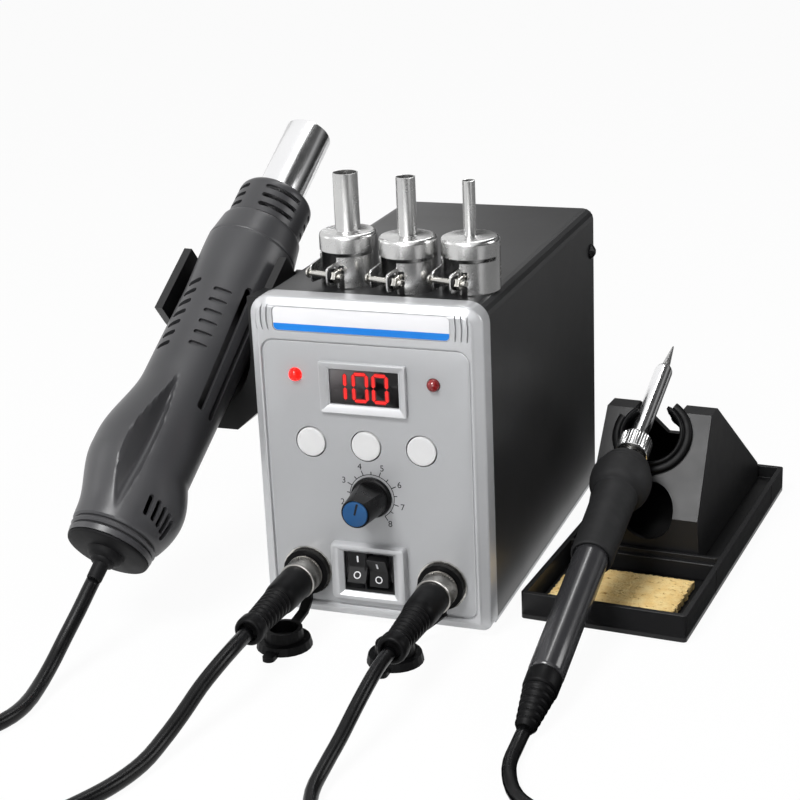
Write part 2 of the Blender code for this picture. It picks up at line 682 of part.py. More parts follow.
def make_controls(station):
    """LEDs, push buttons, and the air knob on its potentiometer."""
    outwards = (math.radians(90.0), 0.0, 0.0)
    board_front = PANEL_T - BOARD_T
    for side, name in ((-1, "led_rework"), (1, "led_solder")):
        dome = LED_R * 0.98
        profile = [(0.0, dome)]
        for step in range(1, 4):
            angle = math.radians(30.0 * step)
            profile.append((LED_R * math.sin(angle), dome * math.cos(angle)))
        profile += [(LED_R, -inner_face() - GAP), (LED_R * 1.12, -inner_face() - GAP),
                    (LED_R * 1.12, -inner_face() - 0.0013), (0.0012, -inner_face() - 0.0013),
                    (0.0012, -board_front + GAP), (0.0, -board_front + GAP)]
        turned(name, profile, "red_lens", station, (side * LED_X, 0.0, LED_Z), outwards, 14)
    for x, name in zip(BUTTON_X, ("button_up", "button_down", "button_set")):
        proud = BUTTON_PROUD - RECESS_D
        stem = board_front - 0.0030 - BUTTON_TRAVEL - GAP
        profile = [(0.0, proud), (BUTTON_R - 0.0005, proud), (BUTTON_R, proud - 0.0004),
                   (BUTTON_R, -stem + 0.0008), (0.0022, -stem + 0.0008), (0.0022, -stem),
                   (0.0, -stem)]
        turned(name, profile, "white_plastic", station, (x, 0.0, BUTTON_Z), outwards, 24)
    shaft_end = KNOB_L * 0.62
    pot_back = board_front - GAP
    profile = [(0.0, shaft_end), (SHAFT_R, shaft_end), (SHAFT_R, 0.0020), (BUSHING_R, 0.0020),
               (BUSHING_R, -inner_face() - GAP), (POT_R, -inner_face() - GAP),
               (POT_R, -pot_back), (0.0, -pot_back)]
    turned("potentiometer", profile, "steel", station, (KNOB_X, 0.0, KNOB_Z), outwards, 20)
    base = -RECESS_D + GAP
    waist = base + 0.0022
    bore = SHAFT_R + SLIP
    profile = [(0.0, KNOB_L - KNOB_CAP_T), (KNOB_TOP_R, KNOB_L - KNOB_CAP_T),
               (KNOB_BASE_R - 0.0010, waist), (KNOB_BASE_R, waist - 0.0006), (KNOB_BASE_R, base),
               (BUSHING_R + 0.0008, base), (BUSHING_R + 0.0008, 0.0028), (bore, 0.0034),
               (bore, shaft_end + GAP), (0.0, shaft_end + GAP)]
    turned("air_knob", profile, "dark_plastic", station, (KNOB_X, 0.0, KNOB_Z), outwards, 28)
    profile = tapered_profile((KNOB_TOP_R - 0.0008, KNOB_L + GAP),
                              (KNOB_TOP_R - 0.0002, KNOB_L - 0.0004),
                              (KNOB_TOP_R - 0.0002, KNOB_L - KNOB_CAP_T + GAP / 3))
    turned("knob_cap", profile, "blue_plastic", station, (KNOB_X, 0.0, KNOB_Z), outwards, 28)


def make_switches(station):
    """Two rocker switches in one housing: the left one is on, the right one is off."""
    width, height = surround_size()
    bm = bmesh.new()
    box(bm, (-width / 2, -0.0010, -height / 2), (width / 2, SWITCH_DEPTH, height / 2))
    housing = add_part("switch_housing", bm, "dark_plastic", station, (SWITCH_X, 0.0, SWITCH_Z))
    bm = bmesh.new()
    pocket = 0.0120
    for side in (-1, 1):
        near, far = sorted((side * SWITCH_WALL / 4, side * SWITCH_W / 2))
        box(bm, (near, -EPS - 0.0010, -SWITCH_H / 2), (far, pocket, SWITCH_H / 2))
    boolean(housing, add_cutter("switch_pockets", bm, station, (SWITCH_X, 0.0, SWITCH_Z)))
    rocker_w = SWITCH_W / 2 - SWITCH_WALL / 4 - 2 * GAP
    for side, tilt, name in ((-1, -1, "rocker_rework"), (1, 1, "rocker_solder")):
        middle = SWITCH_X + side * (SWITCH_W / 4 + SWITCH_WALL / 8)
        pivot = frame(name + "_pivot", station, (middle, ROCKER_PIVOT_Y, SWITCH_Z),
                      (tilt * ROCKER_TILT, 0.0, 0.0))
        bm = bmesh.new()
        outline = rocker_outline()
        turn = Matrix.Rotation(math.pi / 2, 4, "Z") @ Matrix.Rotation(math.pi / 2, 4, "X")
        prism(bm, outline, -rocker_w / 2, rocker_w / 2, turn)
        add_part(name, bm, "dark_plastic", pivot)


def rocker_outline():
    """The rocker's side view: a shallow V in front and an arc about the pivot behind."""
    nose = 0.0068
    brow = 0.0058
    radius = min(math.hypot(brow, nose), SWITCH_H / 2 - 2 * GAP)
    start = math.atan2(nose, -brow)
    points = [(-0.0037, 0.0), (-brow, nose)]
    for step in range(1, 9):
        angle = start * (1 - 2 * step / 9)
        flat = 0.80 if math.cos(angle) > 0 else 1.0
        points.append((flat * radius * math.cos(angle), radius * math.sin(angle)))
    points.append((-brow, -nose))
    return points


def make_inner_parts(station, case_rear):
    """The transformer on the bottom pan and the mains inlet in the rear plate."""
    width, depth, height = TRANSFORMER
    low = FOOT_H + SHEET_T + GAP
    bm = bmesh.new()
    box(bm, (-width / 2, -depth / 2 + 0.0100, 0.0), (width / 2, depth / 2 - 0.0100, height))
    core = add_part("transformer", bm, "iron_core", station, (0.0, TRANSFORMER_Y, low))
    bm = bmesh.new()
    prism(bm, rounded_rectangle(width * 0.66, depth, 0.0060, 3), 0.0060, height - 0.0060)
    boolean(core, add_cutter("winding", bm, station, (0.0, TRANSFORMER_Y, low)), "UNION")
    bm = bmesh.new()
    outer = (INLET_W / 2 + 0.0035, INLET_H / 2 + 0.0020)
    box(bm, (-outer[0], GAP, -outer[1]), (outer[0], 0.0022, outer[1]))
    inlet = add_part("mains_inlet", bm, "dark_plastic", station, (0.0, case_rear, INLET_Z))
    bm = bmesh.new()
    box(bm, (-INLET_W / 2, -INLET_DEPTH, -INLET_H / 2), (INLET_W / 2, 0.0010, INLET_H / 2))
    boolean(inlet, add_cutter("inlet_body", bm, station, (0.0, case_rear, INLET_Z)), "UNION")
    bm = bmesh.new()
    box(bm, (-INLET_W / 2 + 0.0018, -INLET_DEPTH + 0.0040, -INLET_H / 2 + 0.0018),
        (INLET_W / 2 - 0.0018, 0.0040, INLET_H / 2 - 0.0018))
    boolean(inlet, add_cutter("inlet_pocket", bm, station, (0.0, case_rear, INLET_Z)))
    bm = bmesh.new()
    for x, z in ((-0.0070, -0.0022), (0.0070, -0.0022), (0.0, 0.0032)):
        box(bm, (x - 0.0010, -INLET_DEPTH + 0.0020, z - 0.0020), (x + 0.0010, -0.0020, z + 0.0020))
    boolean(inlet, add_cutter("inlet_pins", bm, station, (0.0, case_rear, INLET_Z)), "UNION")


def connectors(station):
    """Both cable connectors: socket, dust cap, coupling ring and plug."""
    outwards = (math.radians(90.0), 0.0, 0.0)
    for side, name, cap_at in ((-1, "rework", CAP_AT[0]), (1, "solder", CAP_AT[1])):
        at = (side * SOCKET_X, 0.0, SOCKET_Z)
        face = -RECESS_D + GAP
        flange = face + SOCKET_FLANGE_T
        nut = -inner_face() - GAP
        profile = [(SOCKET_R, SOCKET_PROUD), (SOCKET_R, flange), (SOCKET_FLANGE_R, flange),
                   (SOCKET_FLANGE_R, face), (SOCKET_R, face), (SOCKET_R, nut),
                   (SOCKET_R + 0.0024, nut), (SOCKET_R + 0.0024, nut - 0.0022),
                   (SOCKET_R, nut - 0.0022), (SOCKET_R, -PANEL_T + GAP), (0.0, -PANEL_T + GAP)]
        profile = [(0.0, SOCKET_PROUD - 0.0062), (SOCKET_BORE, SOCKET_PROUD - 0.0062),
                   (SOCKET_BORE, SOCKET_PROUD)] + profile
        turned("socket_" + name, profile, "steel", station, at, outwards, 20)
        make_dust_cap(station, side, name, flange, cap_at)
        ring_low = flange + STRAP_RING_T + 2 * GAP
        ring_top = ring_low + RING_L
        bore = SOCKET_R + SLIP + 0.0001
        lip = PLUG_CORE_R + 0.0006 + SLIP
        profile = [(RING_R - 0.0006, ring_top), (RING_R, ring_top - 0.0006),
                   (RING_R, ring_low + 0.0006), (RING_R - 0.0006, ring_low), (bore, ring_low),
                   (bore, SOCKET_PROUD + GAP), (lip, SOCKET_PROUD + GAP), (lip, ring_top)]
        turned("coupling_ring_" + name, profile, "steel", station, at, outwards, 24)
        make_plug(station, at, name, ring_top)


def make_plug(station, at, name, ring_top):
    """The plug: its core in the socket, then a rubber boot with ribs and an end ring."""
    start = ring_top + GAP
    ribs = start + 0.0200
    end_ring = PLUG_END - 0.0070
    profile = [(0.0, PLUG_END), (BOOT_END_R - 0.0006, PLUG_END), (BOOT_END_R, PLUG_END - 0.0010),
               (BOOT_END_R, end_ring), (BOOT_RIB_R - 0.0009, end_ring - 0.0008)]
    count = 5
    pitch = (end_ring - 0.0016 - ribs) / count
    for index in range(count):
        top = end_ring - 0.0016 - index * pitch
        profile += [(BOOT_RIB_R, top - 0.25 * pitch),
                    (BOOT_RIB_R - 0.0008, top - 0.80 * pitch)]
    tongue = SOCKET_PROUD - 0.0050
    profile += [(BOOT_R - 0.0005, ribs - 0.0020), (BOOT_R, start + 0.0010),
                (BOOT_R - 0.0006, start), (PLUG_CORE_R + 0.0006, start),
                (PLUG_CORE_R + 0.0006, SOCKET_PROUD + GAP),
                (PLUG_CORE_R, SOCKET_PROUD + GAP), (PLUG_CORE_R, tongue), (0.0, tongue)]
    turned("plug_" + name, profile, "black_rubber", station, at,
           (math.radians(90.0), 0.0, 0.0), 16)


def make_dust_cap(station, side, name, flange, cap_at):
    """A rubber cap that hangs by its strap from a ring round the socket and lies on the bench."""
    low = flange + GAP
    ring = [(STRAP_RING_R, low + STRAP_RING_T), (STRAP_RING_R, low),
            (SOCKET_R + SLIP, low), (SOCKET_R + SLIP, low + STRAP_RING_T)]
    cap = turned("dust_cap_" + name, ring, "black_rubber", station,
                 (side * SOCKET_X, 0.0, SOCKET_Z), (math.radians(90.0), 0.0, 0.0), 20)
    cup_x, cup_y = cap_at
    hang = low + STRAP_RING_T / 2
    middle = (side * SOCKET_X + cup_x) / 2
    rim_y = cup_y + CAP_CUP_R
    bm = bmesh.new()
    path = [(side * SOCKET_X, -hang, SOCKET_Z - SOCKET_R - 0.0022),
            (side * SOCKET_X, -hang - 0.0005, 0.0105), (middle, -hang - 0.0045, 0.0064),
            (cup_x, rim_y + 0.0024, 0.0048), (cup_x, rim_y - 0.0012, 0.0046)]
    sweep_strap(bm, path, 0.0042, 0.0016)
    boolean(cap, add_cutter("strap_" + name, bm, station), "UNION")
    bm = bmesh.new()
    spot = Matrix.Translation((cup_x, cup_y, GAP))
    rod(bm, CAP_R, 0.0, CAP_FLANGE_T, 24, CAP_R - 0.0008, spot)
    rod(bm, CAP_CUP_R, CAP_FLANGE_T - 0.0010, CAP_H, 20, CAP_CUP_R - 0.0006, spot)
    tab = spot @ Matrix.Translation((-0.0006, -CAP_R - 0.0004, 0.0))
    prism(bm, rounded_rectangle(*CAP_TAB, CAP_TAB[0] / 2 - GAP), 0.0, 0.0020, tab)
    bmesh.ops.recalc_face_normals(bm, faces=bm.faces[:])
    cup = add_cutter("cup_" + name, bm, station)
    boolean(cap, cup, "UNION")
    bm = bmesh.new()
    rod(bm, CAP_CUP_R - 0.0024, 0.0030, CAP_H + EPS, 20, turn=spot)
    boolean(cap, add_cutter("cup_hollow_" + name, bm, station))


def sweep_strap(bm, path, width, thickness):
    """A flat strap through the path's points, lying across X."""
    points = [Vector(point) for point in path]
    rings = []
    for index, point in enumerate(points):
        before = points[max(0, index - 1)]
        after = points[min(len(points) - 1, index + 1)]
        along = (after - before).normalized()
        across = Vector((1.0, 0.0, 0.0))
        normal = along.cross(across).normalized()
        rings.append([bm.verts.new(point + across * sx * width / 2 + normal * sn * thickness / 2)
                      for sx, sn in ((1, 1), (-1, 1), (-1, -1), (1, -1))])
    for first, second in zip(rings, rings[1:]):
        for index in range(4):
            bm.faces.new((first[index], first[(index + 1) % 4], second[(index + 1) % 4],
                          second[index]))
    bm.faces.new(rings[0])
    bm.faces.new(rings[-1])
    bmesh.ops.recalc_face_normals(bm, faces=bm.faces[:])


def gun_outline(theta, z):
    """The gun body's outer radius at an angle from its right side and a height in metres."""
    swell = 0.0014 * bell(z, 0.1560, 0.0120) - 0.0016 * max(0.0, (0.0060 - z) / 0.0060)
    if z > 0.1620:
        swell -= 0.0020 * ((z - 0.1620) / (GUN_BODY_L - 0.1620)) ** 2
    edge = scoop_edge(z)
    belly = 0.0064 * bell(z, 0.0420, 0.0180) * smooth_step((theta - edge) / math.radians(16.0))
    belly *= smooth_step((math.radians(260.0) - theta) / math.radians(60.0))
    hollow = 0.0030 * bell(z, 0.0430, 0.0200) * bell(theta, edge - math.radians(9.0),
                                                    math.radians(10.0))
    heel = 0.0041 * bell(z, 0.0240, 0.0095) * bell(wrap(theta - math.radians(-30.0)), 0.0,
                                                  math.radians(48.0))
    return GUN_R + swell + belly - hollow + heel


def scoop_edge(z):
    """The angle of the crest beside the finger hollow: an arc between its two ends."""
    share = (z - 0.0110) / (0.0800 - 0.0110)
    bow = max(0.0, 4 * share * (1 - share))
    return math.radians(68.0 + 24.0 * bow)


def bell(value, middle, width):
    return math.exp(-((value - middle) / width) ** 2)


def smooth_step(value):
    value = min(1.0, max(0.0, value))
    return value * value * (3 - 2 * value)


def wrap(angle):
    return (angle + math.pi) % (2 * math.pi) - math.pi


def around(theta, z, radius=0.0):
    """A place on the gun: local Z points outwards, local X round it, local Y towards its tip."""
    outwards = Vector((math.cos(theta), -math.sin(theta), 0.0))
    along = Vector((0.0, 0.0, 1.0))
    side = along.cross(outwards)
    turn = Matrix((side, along, outwards)).transposed().to_4x4()
    return Matrix.Translation(outwards * radius + along * z) @ turn


def hot_air_gun(station):
    gun = frame("gun_frame", station, GUN_REAR,
                (-(math.pi / 2 - GUN_PITCH), 0.0, -GUN_YAW))
    make_gun_shell(gun, "gun_shell_upper", 0.0)
    make_gun_shell(gun, "gun_shell_lower", math.pi)
    make_gun_front(gun)
    make_gun_rear(gun)
    return gun


def make_gun_shell(gun, name, start):
    """One half of the moulded handle, lofted from its outline and given its wall."""
    rows = 20
    columns = 12
    bm = bmesh.new()
    slit = GAP / 2 / (GUN_R - GUN_WALL)
    loops = []
    for row in range(rows + 1):
        z = GUN_BODY_L * row / rows
        outer = []
        inner = []
        for column in range(columns + 1):
            theta = GUN_SEAM + start + slit + (math.pi - 2 * slit) * column / columns
            radius = gun_outline(theta, z)
            spot = Vector((math.cos(theta), -math.sin(theta), 0.0))
            height = Vector((0.0, 0.0, z))
            outer.append(bm.verts.new(spot * radius + height))
            inner.append(bm.verts.new(spot * (radius - GUN_WALL) + height))
        loops.append(outer + inner[::-1])
    for low, high in zip(loops, loops[1:]):
        for index in range(len(low)):
            following = (index + 1) % len(low)
            bm.faces.new((low[index], high[index], high[following], low[following]))
    for ring in (loops[0], loops[-1]):
        for index in range(columns):
            across = len(ring) - 1 - index
            bm.faces.new((ring[index], ring[index + 1], ring[across - 1], ring[across]))
    bmesh.ops.recalc_face_normals(bm, faces=bm.faces[:])
    shell = add_part(name, bm, "grey_plastic", gun)
    if start == 0.0:
        cut_gun_slots(gun, shell)


def cut_gun_slots(gun, shell):
    """Air slots of the upper half: two long ones, the rear vents and two rows of dashes."""
    bm = bmesh.new()
    for degrees, low, high in ((30.0, 0.0690, 0.1290), (2.0, 0.0680, 0.1290)):
        middle = (low + high) / 2
        box(bm, (-0.0013, low - middle, -0.0060), (0.0013, high - middle, 0.0060),
            around(math.radians(degrees), middle, GUN_R))
    for index in range(5):
        spot = around(math.radians(33.0 - 8.6 * index), 0.0175 - 0.0004 * index, GUN_R)
        box(bm, (-0.0010, -0.0045, -0.0045), (0.0010, 0.0045, 0.0070), spot)
    boolean(shell, add_cutter("gun_air_slots", bm, gun))
    bm = bmesh.new()
    for degrees, top, count in ((65.2, 0.1234, 6), (109.5, 0.1266, 7)):
        for index in range(count):
            spot = around(math.radians(degrees), top - 0.0058 * index, GUN_R)
            box(bm, (-0.0040, -0.0009, -0.0013), (0.0040, 0.0009, 0.0030), spot)
    boolean(shell, add_cutter("gun_dashes", bm, gun))


def make_gun_front(gun):
    """The slotted guard, the steel tube and the heater core inside it."""
    start = GUN_BODY_L + GAP
    seat = GUN_R - GUN_WALL - 0.0018
    end = start + GUARD_L
    nose = TUBE_R + 0.0012
    profile = [(nose, end), (GUARD_R - 0.0015, end), (GUARD_R, end - 0.0015), (GUARD_R, start),
               (seat, start), (seat, start - 0.0060), (seat - GUARD_WALL, start - 0.0060),
               (seat - GUARD_WALL, start), (GUARD_R - GUARD_WALL, start + 0.0010),
               (GUARD_R - GUARD_WALL, end - 0.0020), (nose, end - 0.0020)]
    guard = turned("gun_guard", profile, "grey_plastic", gun, segments=24)
    bm = bmesh.new()
    for row in range(4):
        z = start + 0.0030 + row * 0.0050
        for middle in (46.0, 166.0, 286.0):
            sector(bm, GUARD_R - GUARD_WALL - EPS, GUARD_R + EPS, math.radians(middle),
                   math.radians(58.0), z, 0.0018)
    boolean(guard, add_cutter("guard_slots", bm, gun))
    collar = seat - GUARD_WALL - GAP
    profile = [(TUBE_R, TUBE_END)]
    for z in (start - 0.0040, TUBE_START + 0.0054):
        profile += [(TUBE_R, z), (collar, z), (collar, z - 0.0014), (TUBE_R, z - 0.0014)]
    profile += [(TUBE_R, TUBE_START), (TUBE_R - TUBE_WALL, TUBE_START),
                (TUBE_R - TUBE_WALL, TUBE_END)]
    turned("gun_tube", profile, "steel", gun)
    snug = TUBE_R - TUBE_WALL - GAP
    low = TUBE_START + 0.0040
    high = TUBE_END - 0.0140
    profile = tapered_profile((snug, high), (snug, high - 0.0020), (snug - 0.0030, high - 0.0026),
                              (snug - 0.0030, low + 0.0026), (snug, low + 0.0020), (snug, low))
    turned("gun_heater", profile, "ceramic", gun, segments=20)


def sector(bm, inner, outer, middle, spread, low, height):
    """A curved slot: part of a ring between two radii, spread about a middle angle."""
    steps = 3
    outline = []
    for radius, order in ((outer, 1), (inner, -1)):
        for step in range(steps + 1)[::order]:
            angle = middle + spread * (step / steps - 0.5)
            outline.append((radius * math.cos(angle), -radius * math.sin(angle)))
    part = bmesh.new()
    prism(part, outline, low, low + height)
    mesh = bpy.data.meshes.new("sector")
    part.to_mesh(mesh)
    part.free()
    bm.from_mesh(mesh)
    bpy.data.meshes.remove(mesh)


def make_gun_rear(gun):
    """The end cap with its cord gland, the fan motor on it and the fan."""
    rim = GUN_R - 0.0016
    spigot = rim - GUN_WALL - GAP
    base = -GAP
    profile = [(0.0, 0.0040), (spigot, 0.0040), (spigot, base), (rim, base), (rim, base - 0.0012),
               (rim - 0.0030, base - 0.0036), (GLAND_R + 0.0042, base - 0.0050),
               (GLAND_R + 0.0034, -0.0086), (GLAND_R + 0.0006, -0.0096), (GLAND_R, GLAND_END),
               (GUN_CORD_R + 0.0006, GLAND_END), (GUN_CORD_R + 0.0006, GLAND_END + 0.0020),
               (0.0, GLAND_END + 0.0020)]
    turned("gun_end_cap", profile, "dark_plastic", gun)
    shaft = 0.0011
    motor = (0.0043, 0.0210)
    profile = [(0.0, 0.0290), (shaft, 0.0290), (shaft, motor[1]), (0.0075, motor[1]),
               (0.0080, motor[1] - 0.0008), (0.0080, motor[0]), (0.0, motor[0])]
    turned("gun_motor", profile, "steel", gun, segments=18)
    hub = (0.0215, 0.0300)
    bore = shaft + SLIP
    profile = [(0.0, hub[1] + 0.0008), (0.0040, hub[1]), (0.0048, hub[0]), (bore, hub[0]),
               (bore, 0.0293), (0.0, 0.0293)]
    fan = turned("gun_fan", profile, "dark_plastic", gun, segments=16)
    bm = bmesh.new()
    for index in range(7):
        turn = (Matrix.Rotation(2 * math.pi * index / 7, 4, "Z")
                @ Matrix.Translation((0.0092, 0, (hub[0] + hub[1]) / 2))
                @ Matrix.Rotation(math.radians(35.0), 4, "X"))
        box(bm, (-0.0052, -0.0005, -0.0040), (0.0052, 0.0005, 0.0040), turn)
    boolean(fan, add_cutter("fan_blades", bm, gun), "UNION")


def trough_outline(half, depth, arm):
    """A round-bottomed U, open towards -Y, from the end of one arm to the end of the other."""
    outline = [(-half, -arm)]
    for step in range(13):
        angle = math.pi * step / 12
        outline.append((-half * math.cos(angle), depth * math.sin(angle)))
    return outline + [(half, -arm)]


def make_cradle(station, gun):
    """The U-shaped cradle round the gun's back, on a block screwed to the case's left side."""
    half = GUN_R + CRADLE_SIDE_PLAY
    depth = GUN_R + CRADLE_BACK_PLAY
    outer = trough_outline(half + CRADLE_WALL, depth + CRADLE_BACK_WALL, CRADLE_ARM)
    inner = trough_outline(half, depth, CRADLE_ARM)
    bm = bmesh.new()
    prism(bm, outer + inner[::-1], CRADLE_START, CRADLE_END)
    trough = add_cutter("cradle_trough", bm, gun)
    side = -CASE_W / 2 - GAP
    low, high = BLOCK_Z
    across, rise = BLOCK_CHAMFER
    outline = [(BLOCK_X0, low), (side - across, low), (side, low + rise), (side, high),
               (BLOCK_X0, high)]
    along_y = Matrix.Rotation(math.pi / 2, 4, "X")
    bm = bmesh.new()
    prism(bm, outline, -BLOCK_Y[1], -BLOCK_Y[0], along_y)
    holder = add_part("gun_holder", bm, "dark_plastic", station)
    boolean(holder, trough, "UNION")
    bm = bmesh.new()
    prism(bm, trough_outline(half, depth, 0.0450), CRADLE_START - 0.0600, CRADLE_END + 0.0400)
    boolean(holder, add_cutter("cradle_clearance", bm, gun))


def nozzle_set(station):
    floor = CASE_TOP + GAP
    for size, outlet, spot in NOZZLES:
        seat = frame("nozzle_frame_" + size, station, (*spot, floor))
        make_nozzle(seat, size, outlet)


def make_nozzle(seat, size, outlet):
    """A pressed steel nozzle: outlet tube, shouldered cap, and a slit skirt with clamp ears."""
    inner = NOZZLE_R - NOZZLE_WALL
    bore = outlet - 0.0005
    profile = [(outlet, NOZZLE_TALL), (outlet, NOZZLE_CAP), (NOZZLE_R - NOZZLE_EDGE, NOZZLE_CAP),
               (NOZZLE_R - NOZZLE_EDGE * 0.3, NOZZLE_CAP - NOZZLE_EDGE * 0.3),
               (NOZZLE_R, NOZZLE_CAP - NOZZLE_EDGE), (NOZZLE_R, 0.0), (inner, 0.0),
               (inner, NOZZLE_CAP - NOZZLE_EDGE), (inner - NOZZLE_EDGE, NOZZLE_CAP - NOZZLE_WALL),
               (bore, NOZZLE_CAP - NOZZLE_WALL), (bore, NOZZLE_TALL)]
    nozzle = turned("nozzle_" + size, profile, "steel", seat, segments=24)
    bm = bmesh.new()
    slot = sector_outline(inner - EPS, NOZZLE_R + EPS, math.radians(252.0), math.radians(190.0))
    prism(bm, slot, NOZZLE_SKIRT - SLOT_H, NOZZLE_SKIRT)
    boolean(nozzle, add_cutter("relief_slot_" + size, bm, seat))
    bm = bmesh.new()
    left, right = (EAR_TURN + math.asin(across_at / NOZZLE_R) for across_at in EAR_SIDE)
    gap = sector_outline(inner - EPS, NOZZLE_R + EPS, (left + right) / 2, right - left)
    prism(bm, gap, -EPS, NOZZLE_SKIRT - SLOT_H / 2)
    boolean(nozzle, add_cutter("skirt_gap_" + size, bm, seat))
    across = EAR_TURN + math.pi / 2
    bm = bmesh.new()
    for place_at in EAR_SIDE:
        reach = math.sqrt(NOZZLE_R ** 2 - place_at ** 2) - NOZZLE_WALL
        low = EAR_LOW
        turn = Matrix.Rotation(EAR_TURN, 4, "Z")
        box(bm, (reach, place_at - EAR_T / 2, low),
            (reach + EAR_L, place_at + EAR_T / 2, low + EAR_H), turn)
    boolean(nozzle, add_cutter("ears_" + size, bm, seat), "UNION")
    centre = NOZZLE_R + 0.0032
    screw_at = (centre * math.cos(EAR_TURN), centre * math.sin(EAR_TURN),
                EAR_LOW + EAR_H / 2)
    lay = Matrix.Rotation(across, 4, "Z") @ Matrix.Rotation(math.pi / 2, 4, "Y")
    bm = bmesh.new()
    rod(bm, CLAMP_R + SLIP, -0.0200, 0.0200, 12, turn=Matrix.Translation(screw_at) @ lay)
    boolean(nozzle, add_cutter("ear_holes_" + size, bm, seat))
    head = EAR_SIDE[0] - EAR_T / 2 - GAP
    nut = EAR_SIDE[1] + EAR_T / 2 + GAP
    profile = [(0.0, nut + 0.0052), (CLAMP_R - 0.0003, nut + 0.0052), (CLAMP_R, nut + 0.0048),
               (CLAMP_R, nut + 0.0026), (0.0026, nut + 0.0026), (0.0026, nut), (CLAMP_R, nut),
               (CLAMP_R, head), (0.0024, head), (0.0020, head - 0.0014), (0.0, head - 0.0016)]
    turned("clamp_screw_" + size, profile, "steel", seat, screw_at,
           (0.0, math.pi / 2, across), 12)


def sector_outline(inner, outer, middle, spread):
    steps = 7
    outline = []
    for radius, order in ((outer, 1), (inner, -1)):
        for step in range(steps + 1)[::order]:
            angle = middle + spread * (step / steps - 0.5)
            outline.append((radius * math.cos(angle), radius * math.sin(angle)))
    return outline


def iron_stand(station):
    stand = frame("stand_frame", station, STAND_AT, (0.0, 0.0, STAND_YAW))
    make_tray(stand)
    make_tower(stand)
    bm = bmesh.new()
    (x0, y0), (x1, y1) = SPONGE
    box(bm, (x0, y0, TRAY_FLOOR + GAP), (x1, y1, TRAY_FLOOR + GAP + SPONGE_T))
    rim = [edge for edge in bm.edges]
    bmesh.ops.bevel(bm, geom=rim, offset=0.0008, segments=1, profile=0.5, material=-1,
                    affect="EDGES")
    add_part("sponge", bm, "sponge_yellow", stand)
    return stand


def make_tray(stand):
    """The stand's tray: a sponge well in front and a seat for the tower behind a low ridge."""
    bm = bmesh.new()
    box(bm, (0.0, 0.0, TRAY_PAD_H), (TRAY_W, TRAY_L, TRAY_H))
    upright = [edge for edge in bm.edges
               if abs(edge.verts[0].co.z - edge.verts[1].co.z) > TRAY_H / 2]
    bmesh.ops.bevel(bm, geom=upright, offset=0.0016, segments=2, profile=0.5, material=-1,
                    affect="EDGES")
    tray = add_part("stand_base", bm, "dark_plastic", stand)
    bm = bmesh.new()
    wall = TRAY_WALL
    box(bm, (wall, wall, TRAY_FLOOR), (TRAY_W - wall, TRAY_RIDGE_Y, TRAY_H + EPS))
    box(bm, (wall, TRAY_RIDGE_Y + wall, TOWER_BASE_Z - GAP),
        (TRAY_W - wall, TRAY_L - wall, TRAY_H + EPS))
    boolean(tray, add_cutter("tray_wells", bm, stand))
    bm = bmesh.new()
    for x in (0.0080, TRAY_W - 0.0080):
        for y in (0.0400, TRAY_L - 0.0200):
            rod(bm, 0.0040, 0.0, TRAY_PAD_H + 0.0004, 12, turn=Matrix.Translation((x, y, 0)))
    boolean(tray, add_cutter("tray_pads", bm, stand), "UNION")


def tower_outline(inset):
    """The tower's side view in Y and Z, drawn in by an inset, and open below when inset."""
    y0, y1 = TOWER_BASE_Y
    t0, t1 = TOWER_TOP_Y
    low = TOWER_BASE_Z - (EPS if inset else 0.0)
    slope = math.atan2(TOWER_TOP_Z - TOWER_KNEE_Z, t0 - y0)
    fall = math.atan2(TOWER_TOP_Z - TOWER_REAR_Z, y1 - t1)
    knee_drop = inset * math.tan((math.pi / 2 - slope) / 2)
    brow = inset * math.tan((math.pi - slope) / 2 - math.pi / 4) if inset else 0.0
    top = TOWER_TOP_Z - inset
    knee = TOWER_KNEE_Z - knee_drop
    front_top = y0 + inset + (top - knee) / math.tan(slope)
    rear_low = TOWER_REAR_Z - inset * 0.3
    rear_top = y1 - inset - (top - rear_low) / math.tan(fall)
    return [(y0 + inset, low), (y0 + inset, knee), (front_top, top),
            (max(rear_top, front_top + brow), top), (y1 - inset, rear_low), (y1 - inset, low)]


def lean_side(bm):
    """Lean the tower's right side inwards with the height."""
    middle = sum(TOWER_X) / 2
    for vert in bm.verts:
        if vert.co.x > middle:
            rise = (vert.co.z - TOWER_BASE_Z) / (TOWER_TOP_Z - TOWER_BASE_Z)
            vert.co.x -= TOWER_LEAN * rise


def slope_frame(stand):
    """A frame on the tower's front slope at the funnel's middle, +Z out of the slope."""
    y0 = TOWER_BASE_Y[0]
    slope = math.atan2(TOWER_TOP_Z - TOWER_KNEE_Z, TOWER_TOP_Y[0] - y0)
    place_y = y0 + RING_RISE * math.cos(slope)
    place_z = TOWER_KNEE_Z + RING_RISE * math.sin(slope)
    return frame("funnel_frame", stand, (RING_AT, place_y, place_z), (slope, 0.0, 0.0))


